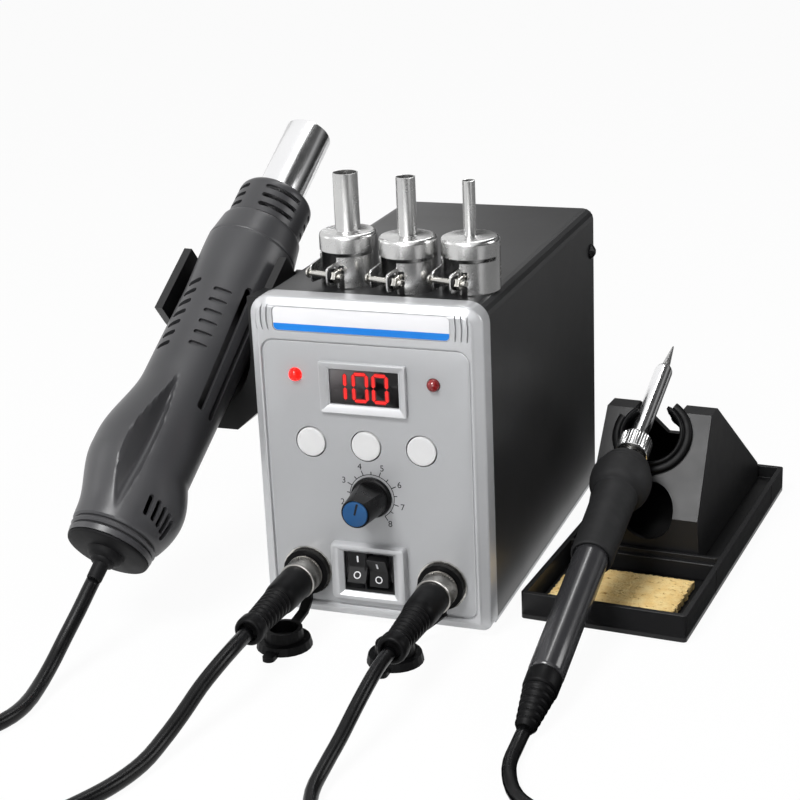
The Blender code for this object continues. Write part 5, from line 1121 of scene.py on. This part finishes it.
for name, x in SOCKETS:
    place = facing(x, SOCKET_HEIGHT)
    bm = bmesh.new()
    knurled(bm, place, 7.85, 3.3, 12.8, 6.3)
    finish("coupling_ring_" + name + "_skin", bm, KNURL, name + "_ring", 15,
           ["coupling_ring_" + name])
    profile = [(0.0, 5.0), (4.4, 5.0), (4.4, 12.0), (5.0, 13.1), (6.6, 13.1), (7.0, 13.3),
               (7.2, 13.8), (7.25, 14.6), (7.25, 18.0), (7.2, 24.0), (7.05, 28.6), (6.8, 30.6),
               (6.4, 31.7), (5.8, 32.3), (5.4, 32.9)]
    for rib in range(7):
        start = 33.1 + 3.08 * rib
        crest = 6.3 - 0.15 * rib
        profile += [(crest - 1.15, start), (crest - 0.12, start + 0.45), (crest, start + 0.85),
                    (crest, start + 1.55), (crest - 0.12, start + 1.95), (crest - 1.15, start + 2.4)]
    profile += [(4.9, 54.7), (5.6, 55.1), (6.0, 55.8), (6.1, 56.8), (6.1, 59.8), (5.9, 60.9),
                (5.4, 61.6), (4.8, 61.9), (4.2, 61.7), (3.9, 60.9), (3.8, 58.0), (0.0, 58.0)]
    turned_piece("plug_" + name + "_skin", profile, 64, place, RUBBER, name + "_plug", 60,
                 ["plug_" + name])
    soften(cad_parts["dust_cap_" + name], 0.5, 3, 50.0)


# Spare nozzles: drawn steel, with a slit skirt and two ears pulled together by a screw

def sector(inner, outer, middle, spread, steps=24):
    """A piece of a flat ring, spread in degrees about its middle angle."""
    outline = []
    for radius, order in ((outer, 1), (inner, -1)):
        for step in range(steps + 1)[::order]:
            angle = math.radians(middle + spread * (step / steps - 0.5))
            outline.append((radius * math.cos(angle), radius * math.sin(angle)))
    return outline


# Each ear: how far it stands from the screw's middle, and how far out its foot begins.
EARS = ((-7.8, 8.6), (2.6, 11.2))


def nozzle_tube(size, outlet, top, seat):
    """The drawn body: a narrow outlet on a wide skirt that is slit round its side."""
    profile = [(outlet, top), (outlet, 22.5), (outlet + 0.08, 22.15), (outlet + 0.3, 22.0)]
    profile += [(10.2 + 1.9 * math.sin(math.radians(15 * step)),
                 20.1 + 1.9 * math.cos(math.radians(15 * step))) for step in range(7)]
    profile += [(12.1, 12.6), (12.1, 12.0), (12.1, 6.0), (12.1, 0.1), (12.0, 0.0), (11.5, 0.0),
                (11.4, 0.1), (11.4, 19.6), (10.4, 21.2), (outlet - 0.5, 21.3),
                (outlet - 0.5, top), (outlet - 0.25, top + 0.1)]
    nozzle = turned_piece("nozzle_" + size + "_skin", profile, 144, seat, STAMPED,
                          size + "_nozzle", 42, ["nozzle_" + size])
    left, right = (math.degrees(math.asin(across / 12.1)) for across, reach in EARS)
    bm = bmesh.new()
    prism(bm, sector(10.4, 13.2, -1.2, 190.0, 40), 13.0, 14.5, seat)
    prism(bm, sector(10.4, 13.2, (left + right) / 2, right - left), -1.0, 13.8, seat)
    prism(bm, sector(10.4, 13.2, right + 9.2, 11.0), -1.0, 9.6, seat)
    cut(nozzle, bm)


def nozzle_ears(size, seat):
    """Two plates that stand out of the skirt; a small square hole pierces the second."""
    bm = bmesh.new()
    for across, reach in EARS:
        outline = [(reach, 2.2), (reach + 6.6, 2.2), (reach + 7.3, 3.0), (reach + 7.5, 4.2),
                   (reach + 7.5, 8.4), (reach + 7.2, 9.4), (reach + 6.4, 10.0),
                   (reach + 3.4, 10.6), (reach, 11.3)]
        prism(bm, outline, -(across + 0.40), -(across - 0.40), seat @ turn("X", 90), 0.12)
    ears = finish("nozzle_ears_" + size, bm, STAMPED, size + "_nozzle", 40)
    bm = bmesh.new()
    add_box(bm, (13.1, 1.6, 7.9), (14.5, 3.6, 9.5), seat)
    cut(ears, bm)


def clamp_screw(size, seat):
    """The screw through both ears with its nut, a stud beside it, and a blackened washer."""
    lay = seat @ shift(15.3, 0.0, 6.2) @ turn("X", -90)
    stud = seat @ shift(11.6, 4.7, 8.0) @ turn("Z", 22) @ turn("Y", 90)
    thread = [(1.42 if step % 2 else 1.26, -8.2 + 16.3 * step / 25) for step in range(26)]
    bm = bmesh.new()
    spin_profile(bm, [(0.0, -10.3), (1.4, -10.2), (2.1, -9.7), (2.4, -8.9), (2.4, -8.5)] + thread
                 + [(1.0, 8.5), (0.0, 8.55)], lay, 32)
    prism(bm, circle(2.85, 6, math.radians(12)), 3.9, 6.2, lay, 0.22)
    spin_profile(bm, [(0.0, 0.5), (0.6, 0.4), (0.85, 0.0), (0.85, -1.0), (0.0, -1.0)], stud, 20)
    finish("clamp_screw_" + size + "_skin", bm, NICKEL, size + "_nozzle", 35,
           ["clamp_screw_" + size])
    turned_piece("clamp_washer_" + size, [(1.5, 3.05), (3.0, 3.05), (3.1, 3.45), (3.0, 3.85),
                                          (1.5, 3.85)], 40, lay, BLACK_STEEL, size + "_nozzle", 35)


for size, outlet, top, x, y in (("large", 5.2, 45.9, -17.7, 34.1),
                                ("medium", 4.0, 45.9, 10.0, 30.0),
                                ("small", 2.6, 44.4, 35.4, 33.8)):
    seat = BOX @ shift(x, y, 141.3) @ turn("Z", 253.2)
    nozzle_tube(size, outlet, top, seat)
    nozzle_ears(size, seat)
    clamp_screw(size, seat)


# Iron stand: a moulded tray, the sponge in its well, and the tower with its rubber rest

STAND = BOX @ shift(56.6, 22.4, 0.0) @ turn("Z", -4.0)


def corners(low, high, radius):
    """A rounded rectangle from one corner to the other."""
    outline = rounded(high[0] - low[0], high[1] - low[1], radius, 5)
    return moved(outline, (low[0] + high[0]) / 2, (low[1] + high[1]) / 2)


bm = bmesh.new()
prism(bm, corners((0.0, 0.0), (71.6, 175.6), 1.6), 1.0, 13.0, STAND)
tray = finish("stand_base_skin", bm, BLACK_PLASTIC, "station", 30, ["stand_base"])
bm = bmesh.new()
prism(bm, corners((2.4, 2.4), (69.2, 59.0), 1.0), 2.6,
      20.0, STAND)
prism(bm, corners((2.4, 61.2), (69.2, 173.2), 1.0), 7.2,
      20.0, STAND)
for y in (47.2, 149.5):
    add_box(bm, (71.1, y, -1.0), (73.0, (y + 0.55), 20.0), STAND)
cut(tray, bm)
soften(tray, 0.45, 3, 50.0)
bm = bmesh.new()
for x, y, wide, deep in ((68.6, 40.0, 4.6, 10.5), (68.6, 142.0, 4.6, 10.5), (8.0, 40.0, 8.0, 8.0),
                         (8.0, 155.6, 8.0, 8.0)):
    prism(bm, moved(rounded(wide, deep, 0.8, 3), x, y), 0.0, 1.3,
          STAND)
finish("stand_feet", bm, RUBBER, "station", 40)
bm = bmesh.new()
add_box(bm, (2.6, 56.9, 2.7), (69.0, 59.2, 10.6), STAND)
finish("tray_ledge", bm, BLACK_PLASTIC, "station", 40)
soften(bpy.data.objects["tray_ledge"], 0.5, 3)

TOWER_X = (9.0, 60.0)
TOWER_SIDE = ((172.0, 7.5), (172.0, 15.0), (102.5, 66.4), (92.0, 66.4), (62.5, 27.5), (62.5, 7.5))
TOWER_LEAN = 3.0
RING_SLOPE = math.atan2(66.4 - 27.5, 92.0 - 62.5)
RING = (STAND @ shift(32.2, 62.5 + 36.8 * math.cos(RING_SLOPE), 27.5 + 36.8 * math.sin(RING_SLOPE))
        @ turn("X", math.degrees(RING_SLOPE)))
SIDEWAYS = turn("Z", 90) @ turn("X", 90)


def tower_block(inset):
    """The tower's side view carried across, its right side leaning in with the height."""
    outline = [Vector(point) for point in TOWER_SIDE]
    outline = [point - normal * inset for point, normal in zip(outline, outline_normals(outline))]
    if inset:
        outline[0].y = outline[-1].y = 6.0
    bm = bmesh.new()
    prism(bm, outline, TOWER_X[0] + inset, TOWER_X[1] - inset, SIDEWAYS)
    for vert in bm.verts:
        if vert.co.x > 35 * MM:
            vert.co.x -= TOWER_LEAN * (vert.co.z - 7.5 * MM) / 58.9
    bmesh.ops.transform(bm, matrix=STAND, verts=bm.verts[:])
    return bm


bm = tower_block(0.0)
tower = finish("stand_tower_skin", bm, BLACK_PLASTIC, "station", 30, ["stand_tower"])
cut(tower, tower_block(2.2))
bm = bmesh.new()
prism(bm, circle(15.3, 72), -6.0, 1.0, RING)
cut(tower, bm)
for low, begin in ((48.1, 55.0), (40.0, 92.0)):
    half = 10.8 - (67.4 - low) * 0.136
    outline = [(-half, low), (half, low), (10.8, 67.4),
               (-10.8, 67.4)]
    bm = bmesh.new()
    prism(bm, outline, -180.0, -begin, STAND @ shift(32.2, 0, 0) @ turn("X", 90))
    cut(tower, bm)
bm = bmesh.new()
prism(bm, circle(11.8, 72), -82.5, -61.5,
      STAND @ shift(35.8, 0.0, 28.3) @ turn("X", 90))
cut(tower, bm)
soften(tower, 0.45, 3, 32.0)


def partial_ring(bm, section, start, stop, steps, ragged=0.0):
    """Carries a closed (radius, height) outline round from one angle off straight up to another."""
    loops = []
    for step in range(steps + 1):
        angle = between(start, stop, step / steps)
        ring = []
        for index, (radius, height) in enumerate(section):
            tear = 0.0
            if ragged and step < 2:
                tear = ragged * (0.5 + 0.5 * math.sin(index * 2.6)) * (1 - step / 2)
            turned_by = math.radians(angle + tear)
            ring.append(RING @ (Vector((radius * math.sin(turned_by),
                                        radius * math.cos(turned_by), height)) * MM))
        loops.append(ring)
    return loft(bm, loops)


bm = bmesh.new()
flange = [(15.0, 0.35), (17.6, 0.35), (18.0, 0.7), (18.0, 1.7), (17.7, 2.3), (17.1, 2.6),
          (15.6, 2.7), (14.8, 2.5), (14.4, 1.9), (14.4, 0.8)]
partial_ring(bm, flange, 30.0, 297.0, 96)
rest = [(14.9, 0.5), (14.9, 2.3), (14.6, 3.2), (13.9, 3.7), (13.1, 3.5), (12.75, 2.8)]
rest += [(between(12.75, 11.8, step / 12), between(2.8, -13.0, step / 12)) for step in range(1, 13)]
rest += [(12.6, -13.3), (13.6, -13.0)]
rest += [(between(13.7, 14.6, step / 6), between(-12.0, -1.0, step / 6)) for step in range(7)]
partial_ring(bm, rest, 22.0, 323.0, 120, 7.0)
finish("stand_ring_skin", bm, RUBBER, "station", 50, ["stand_ring"])

# Sponge: torn edges and a pitted top.
SPONGE_LOW, SPONGE_HIGH = Vector((6.8, 6.4)), Vector((62.2, 47.6))
SPONGE_FOOT = 3.1


def sponge_point(u, v, on_top):
    """A point on the sponge's top or foot, its outline frayed by small tears."""
    spot = Vector((between(SPONGE_LOW.x, SPONGE_HIGH.x, u), between(SPONGE_LOW.y, SPONGE_HIGH.y, v)))
    rim = min(u, 1 - u, v * 0.75, (1 - v) * 0.75)
    fray = max(0.0, 1 - rim * 16)
    tear = noise.noise(Vector((spot.x * 0.55, spot.y * 0.55, 3.0))) * 0.9
    tear += noise.noise(Vector((spot.x * 1.9, spot.y * 1.9, 8.0))) * 0.45
    spot += (spot - (SPONGE_LOW + SPONGE_HIGH) / 2).normalized() * (tear - 0.35) * fray
    height = SPONGE_FOOT
    if on_top:
        pit = noise.noise(Vector((spot.x * 0.9, spot.y * 0.9, 1.0)))
        hole = noise.noise(Vector((spot.x * 2.3, spot.y * 1.5, 5.0)))
        height = 7.1 + 0.18 * pit - 0.9 * max(0.0, hole - 0.34) * 2.2 - 0.55 * fray ** 2
    return Vector((spot.x, spot.y, height)) * MM


bm = bmesh.new()
top = set(bmesh.ops.create_grid(bm, x_segments=168, y_segments=126, size=0.5)["verts"])
border = [edge for edge in bm.edges if edge.is_boundary]
bmesh.ops.extrude_edge_only(bm, edges=border)
bmesh.ops.contextual_create(bm, geom=[edge for edge in bm.edges if edge.is_boundary])
for vert in bm.verts:
    vert.co = STAND @ sponge_point(vert.co.x + 0.5, vert.co.y + 0.5, vert in top)
finish("sponge_skin", bm, SPONGE, "loose_sponge", 60, ["sponge"])


# Soldering iron

IRON = BOX @ shift(86.6, -56.2, 9.6) @ turn("Z", -0.9716) @ turn("X", -72.93)


def iron_part(name, profile, material, segments=96, smooth=40.0):
    """A turned piece of the iron that stands for the solid of the same name."""
    turned_piece(name + "_skin", profile, segments, IRON, material, "iron", smooth, [name])


iron_part("iron_barrel", [(2.95, 143.0), (4.1, 143.0), (4.1, 213.9), (3.95, 214.8),
                          (3.6, 215.7), (3.2, 215.95), (2.95, 215.8)], POLISHED)
iron_part("iron_tip", [(0.0, 176.0), (2.7, 176.0), (2.7, 216.2), (2.55, 216.8), (2.2, 217.3),
                       (1.95, 218.4), (0.42, 234.3), (0.25, 234.9), (0.0, 235.0)], STAMPED)
# The bright nut: every third line of its side is pressed in.
NUT_LINES = 108
bm = bmesh.new()
made = spin_profile(bm, [(4.3, 149.0), (6.6, 149.0), (7.2, 149.2), (7.4, 149.6), (7.5, 149.9),
                         (7.5, 158.9), (7.4, 159.5), (6.9, 160.1), (6.0, 160.5), (4.3, 160.6)],
                    None, NUT_LINES)
for vert in made:
    if 149.7 < vert.co.z / MM < 159.7 and angle_step(vert, NUT_LINES) % 3 == 0:
        vert.co.xy *= 0.95
bmesh.ops.transform(bm, matrix=IRON, verts=made)
finish("iron_nut_skin", bm, BRIGHT_NUT, "nut", 25, ["iron_nut"])
thread = [(4.35, 148.8)]
for ridge in range(4):
    thread += [(5.9, 148.7 - 0.9 * ridge), (5.9, 148.4 - 0.9 * ridge),
               (5.4, 148.15 - 0.9 * ridge), (5.4, 147.95 - 0.9 * ridge)]
thread += [(6.1, 145.0), (6.4, 144.7), (6.4, 142.5), (4.35, 142.5)]
turned_piece("iron_thread", thread, 96, IRON, NICKEL_DARK, "iron", 25)
bm = bmesh.new()
for prong in range(18):
    place = IRON @ turn("Z", 20.0 * prong)
    add_box(bm, (6.9, -0.55, 142.6), (8.1, 0.55, 145.2), place)
spin_profile(bm, [(6.1, 142.4), (8.3, 142.4), (8.3, 143.8),
                  (8.0, 144.1), (6.4, 144.1), (6.1, 143.9)], IRON, 96)
finish("iron_collar", bm, GLOSS_BLACK, "iron", 30)
grip = [(4.35, 124.4), (4.35, 142.8), (6.3, 142.9), (8.2, 143.0), (9.4, 142.6), (10.3, 141.6),
        (10.9, 140.2), (11.2, 138.8), (11.4, 137.6), (12.1, 136.6), (12.8, 135.0), (13.2, 132.8),
        (13.3, 130.4), (13.1, 127.8), (12.6, 125.4), (11.8, 123.6), (10.8, 122.5), (9.9, 122.1),
        (9.55, 121.8), (9.5, 121.0), (9.4, 114.0), (9.25, 104.0), (9.1, 94.0), (9.0, 86.0),
        (8.95, 83.0), (9.0, 81.6), (8.95, 80.8), (8.8, 80.2), (8.3, 79.9), (7.9, 80.0),
        (7.55, 80.4), (7.5, 81.5), (7.5, 124.4)]
iron_part("iron_grip", grip, GRIP_RUBBER, 96, 60.0)
iron_part("iron_handle", [(0.0, 123.5), (7.3, 123.5), (7.3, 60.0), (7.3, 30.0), (7.25, 12.0),
                          (7.1, 10.9), (6.6, 10.4), (4.8, 10.4), (4.8, 16.4), (0.0, 16.4)],
          HANDLE_GLOSS)
boot = [(0.0, 16.1), (4.6, 16.1), (4.6, 10.1), (6.6, 10.1), (7.0, 9.8), (7.1, 9.2), (7.0, 3.0),
        (6.8, 2.4)]
for rib in range(6):
    start = 1.9 - 3.2 * rib
    crest = 6.5 - 0.42 * rib
    boot += [(crest - 0.7, start), (crest - 0.1, start - 0.5), (crest, start - 0.9),
             (crest, start - 1.6), (crest - 0.1, start - 2.0), (crest - 0.7, start - 2.5)]
boot += [(3.4, -17.7), (3.0, -18.0), (0.0, -18.0)]
iron_part("iron_boot", boot, RUBBER, 64, 60.0)


# Case and the remaining solids keep their shape; their sharp edges are rounded

for name, width, angle in (("case_cover", 0.4, 40.0), ("gun_holder", 0.5, 40.0),
                           ("cover_screw_left", 0.25, 40.0), ("cover_screw_right", 0.25, 40.0),
                           ("mains_inlet", 0.25, 40.0), ("chassis_pan", 0.25, 50.0)):
    soften(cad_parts[name], width, 3, angle)


# Stage: white floor, lamps, and dark cards that the metal and the black sides reflect

FLOOR_SHARE = 0.955  # how much of the floor shows as plain white; the rest takes the shadow
WORLD_DIM = 0.12     # how strongly the white world lights the object
TENT_R = 1.7
TENT_FOOT = 0.03
GLINT_AWAY = 0.9
GLINT_WIDTH = 0.09
GLINT_LENGTH = 0.80
GLINT_TURN = -13.0   # degrees round the handle, away from the side that faces the camera
GLINT_STRENGTH = 9.0


def any_ray(tree, names):
    """One where the ray is of any of the named kinds, else nought."""
    rays = node(tree, "ShaderNodeLightPath")
    seen = rays.outputs[names[0]]
    for name in names[1:]:
        seen = node(tree, "ShaderNodeMath", {"operation": "MAXIMUM"},
                    {0: seen, 1: rays.outputs[name]}).outputs[0]
    return seen


def make_floor():
    bm = bmesh.new()
    bmesh.ops.create_grid(bm, x_segments=1, y_segments=1, size=6.0)
    floor = finish("floor", bm, [], None, 180)
    floor.location.z = -0.0002
    made, tree = new_material("white_floor")
    shader = tree.nodes["Principled BSDF"]
    shader.inputs["Base Color"].default_value = hexed("#f4f4f4")
    shader.inputs["Roughness"].default_value = 0.9
    shader.inputs["Specular IOR Level"].default_value = 0.0
    glow = node(tree, "ShaderNodeEmission", {"Color": (1, 1, 1, 1), "Strength": 1.0})
    share = node(tree, "ShaderNodeMath", {"operation": "MULTIPLY"},
                 {0: any_ray(tree, ("Is Camera Ray", "Is Glossy Ray"))})
    share.inputs[1].default_value = FLOOR_SHARE
    show_surface(tree, node(tree, "ShaderNodeMixShader", links={
        "Fac": share.outputs[0], 1: shader.outputs[0], 2: glow.outputs[0]}))
    floor.data.materials.append(made)


def make_world():
    world = bpy.data.worlds.new("studio")
    bpy.context.scene.world = world
    world.use_nodes = True
    tree = world.node_tree
    tree.nodes.clear()
    white = node(tree, "ShaderNodeBackground", {"Color": (1, 1, 1, 1), "Strength": 1.0})
    dim = node(tree, "ShaderNodeBackground", {"Color": (1, 1, 1, 1), "Strength": WORLD_DIM})
    mixed = node(tree, "ShaderNodeMixShader", links={
        "Fac": any_ray(tree, ("Is Camera Ray", "Is Glossy Ray", "Is Transmission Ray")),
        1: dim.outputs[0], 2: white.outputs[0]})
    node(tree, "ShaderNodeOutputWorld", links={"Surface": mixed.outputs[0]})


def add_lamp(name, place, aim, size, watts):
    data = bpy.data.lights.new(name, "AREA")
    data.shape = "RECTANGLE"
    data.size, data.size_y = size
    data.energy = watts
    lamp = bpy.data.objects.new(name, data)
    bpy.context.scene.collection.objects.link(lamp)
    lamp.location = place
    lamp.rotation_euler = (Vector(aim) - Vector(place)).to_track_quat("-Z", "Y").to_euler()


def show_only_in_shine(sheet, material):
    """Gives a card its material and hides it from all but reflections."""
    sheet.data.materials.append(material)
    sheet.visible_camera = False
    sheet.visible_shadow = False
    sheet.visible_diffuse = False


def make_dark_side():
    """A dark tent over the right half, which only shiny parts reflect.

    It splits each metal tube into a white left side and a grey right side, as in the
    photograph. Its shade runs with the angle above the floor.
    """
    away = Vector((-0.832, -0.439, 0.329)).normalized()
    bm = bmesh.new()
    bmesh.ops.create_uvsphere(bm, u_segments=60, v_segments=60, radius=TENT_R,
                              matrix=Matrix.Translation((0.0, 0.0, TENT_FOOT)))
    spare = [face for face in bm.faces if face.calc_center_median().z < TENT_FOOT
             or face.calc_center_median().normalized().dot(away) >= -0.03]
    bmesh.ops.delete(bm, geom=spare, context="FACES")
    tent = finish("dark_side", bm, [], None, 180)
    made, tree = new_material("dark_side_felt")
    where = node(tree, "ShaderNodeTexCoord")
    aim = node(tree, "ShaderNodeVectorMath", {"operation": "NORMALIZE"},
               {0: where.outputs["Object"]})
    split = node(tree, "ShaderNodeSeparateXYZ", links={"Vector": aim.outputs["Vector"]})
    show_surface(tree, node(tree, "ShaderNodeEmission", links={"Color": ramp(
        tree, split.outputs["Z"], ((0.0, "#181818"), (0.20, "#202020"), (0.34, "#5c5c5c"),
                                   (0.46, "#a0a0a0"), (0.56, "#484848"), (1.0, "#303030")))}))
    show_only_in_shine(tent, made)


def make_floor_card(name, low, high, stops, strength=1.0, angle=0.0):
    """A flat card just over the floor, shaded along its own X; only shiny parts reflect it."""
    low, high = Vector((*low, 0.0)), Vector((*high, 0.0))
    size = high - low
    bm = bmesh.new()
    bmesh.ops.create_grid(bm, x_segments=1, y_segments=1, size=0.5,
                          matrix=Matrix.Translation((0.0, 0.0, 0.003)) @ turn("Z", angle)
                          @ Matrix.Translation((low + high) / 2)
                          @ Matrix.Diagonal((size.x, size.y, 1.0, 1.0)))
    card = finish(name, bm, [], None, 180)
    made, tree = new_material(name + "_paper")
    where = node(tree, "ShaderNodeTexCoord")
    laid = node(tree, "ShaderNodeMapping",
                {"Rotation": (0.0, 0.0, -math.radians(angle)), "Location": (-low.x, 0.0, 0.0)},
                {"Vector": where.outputs["Object"]})
    split = node(tree, "ShaderNodeSeparateXYZ", links={"Vector": laid.outputs["Vector"]})
    share = node(tree, "ShaderNodeMath", {"operation": "DIVIDE"}, {0: split.outputs["X"]})
    share.inputs[1].default_value = size.x
    show_surface(tree, node(tree, "ShaderNodeEmission", {"Strength": strength},
                            {"Color": ramp(tree, share.outputs[0], stops)}))
    show_only_in_shine(card, made)


def make_glint():
    """A narrow bright card whose reflection runs as one line along the iron's handle."""
    spot = IRON @ Vector((0.0, 0.0, 0.045))
    eye = (bpy.context.scene.camera.matrix_world.translation - spot).normalized()
    along = (IRON @ Vector((0.0, 0.0, 0.090)) - spot).normalized()
    towards = (eye - along * eye.dot(along)).normalized()
    normal = Matrix.Rotation(math.radians(GLINT_TURN), 3, along) @ towards
    ray = 2 * normal.dot(eye) * normal - eye
    wide = along.cross(ray).normalized()
    far = ray.cross(wide).normalized()
    lay = Matrix((wide * GLINT_WIDTH, far * GLINT_LENGTH, ray)).transposed().to_4x4()
    lay.translation = spot + ray * GLINT_AWAY
    bm = bmesh.new()
    bmesh.ops.create_grid(bm, x_segments=1, y_segments=1, size=0.5, matrix=lay)
    card = finish("glint_card", bm, [], None, 180)
    made, tree = new_material("glint_paper")
    show_surface(tree, node(tree, "ShaderNodeEmission",
                            {"Color": (1, 1, 1, 1), "Strength": GLINT_STRENGTH}))
    show_only_in_shine(card, made)


make_floor()
make_world()
add_lamp("key_lamp", (-0.22, -0.90, 1.15), (0.0, 0.0, 0.07), (0.45, 0.45), 18.5)
add_lamp("left_lamp", (-1.20, -0.35, 0.55), (0.0, 0.0, 0.07), (0.5, 0.5), 1.2)
add_lamp("front_lamp", (0.10, -1.30, 0.45), (0.0, 0.0, 0.07), (0.6, 0.6), 4.5)
add_lamp("right_lamp", (1.10, 0.35, 0.60), (0.08, 0.05, 0.04), (0.5, 0.5), 4.5)
make_dark_side()
make_glint()
make_floor_card("dark_floor_right", (0.048, -0.30), (1.50, 1.60),
                ((0.0, "#0a0a0a"), (0.03, "#1c1c1c"), (0.08, "#606060"), (0.16, "#a4a4a4"),
                 (0.26, "#8c8c8c"), (1.0, "#8c8c8c")))
make_floor_card("dark_floor_front", (0.22, -0.60), (1.50, 0.10),
                ((0.0, "#4a4a4a"), (0.4, "#6a6a6a"), (1.0, "#8a8a8a")), angle=-52.0)
make_floor_card("bright_strip", (0.26, -0.045), (1.30, 0.045),
                ((0.0, "#e0e0e0"), (0.5, "#ffffff"), (1.0, "#e0e0e0")), 2.2, angle=-97.0)

bpy.context.scene.view_settings.view_transform = "Standard"
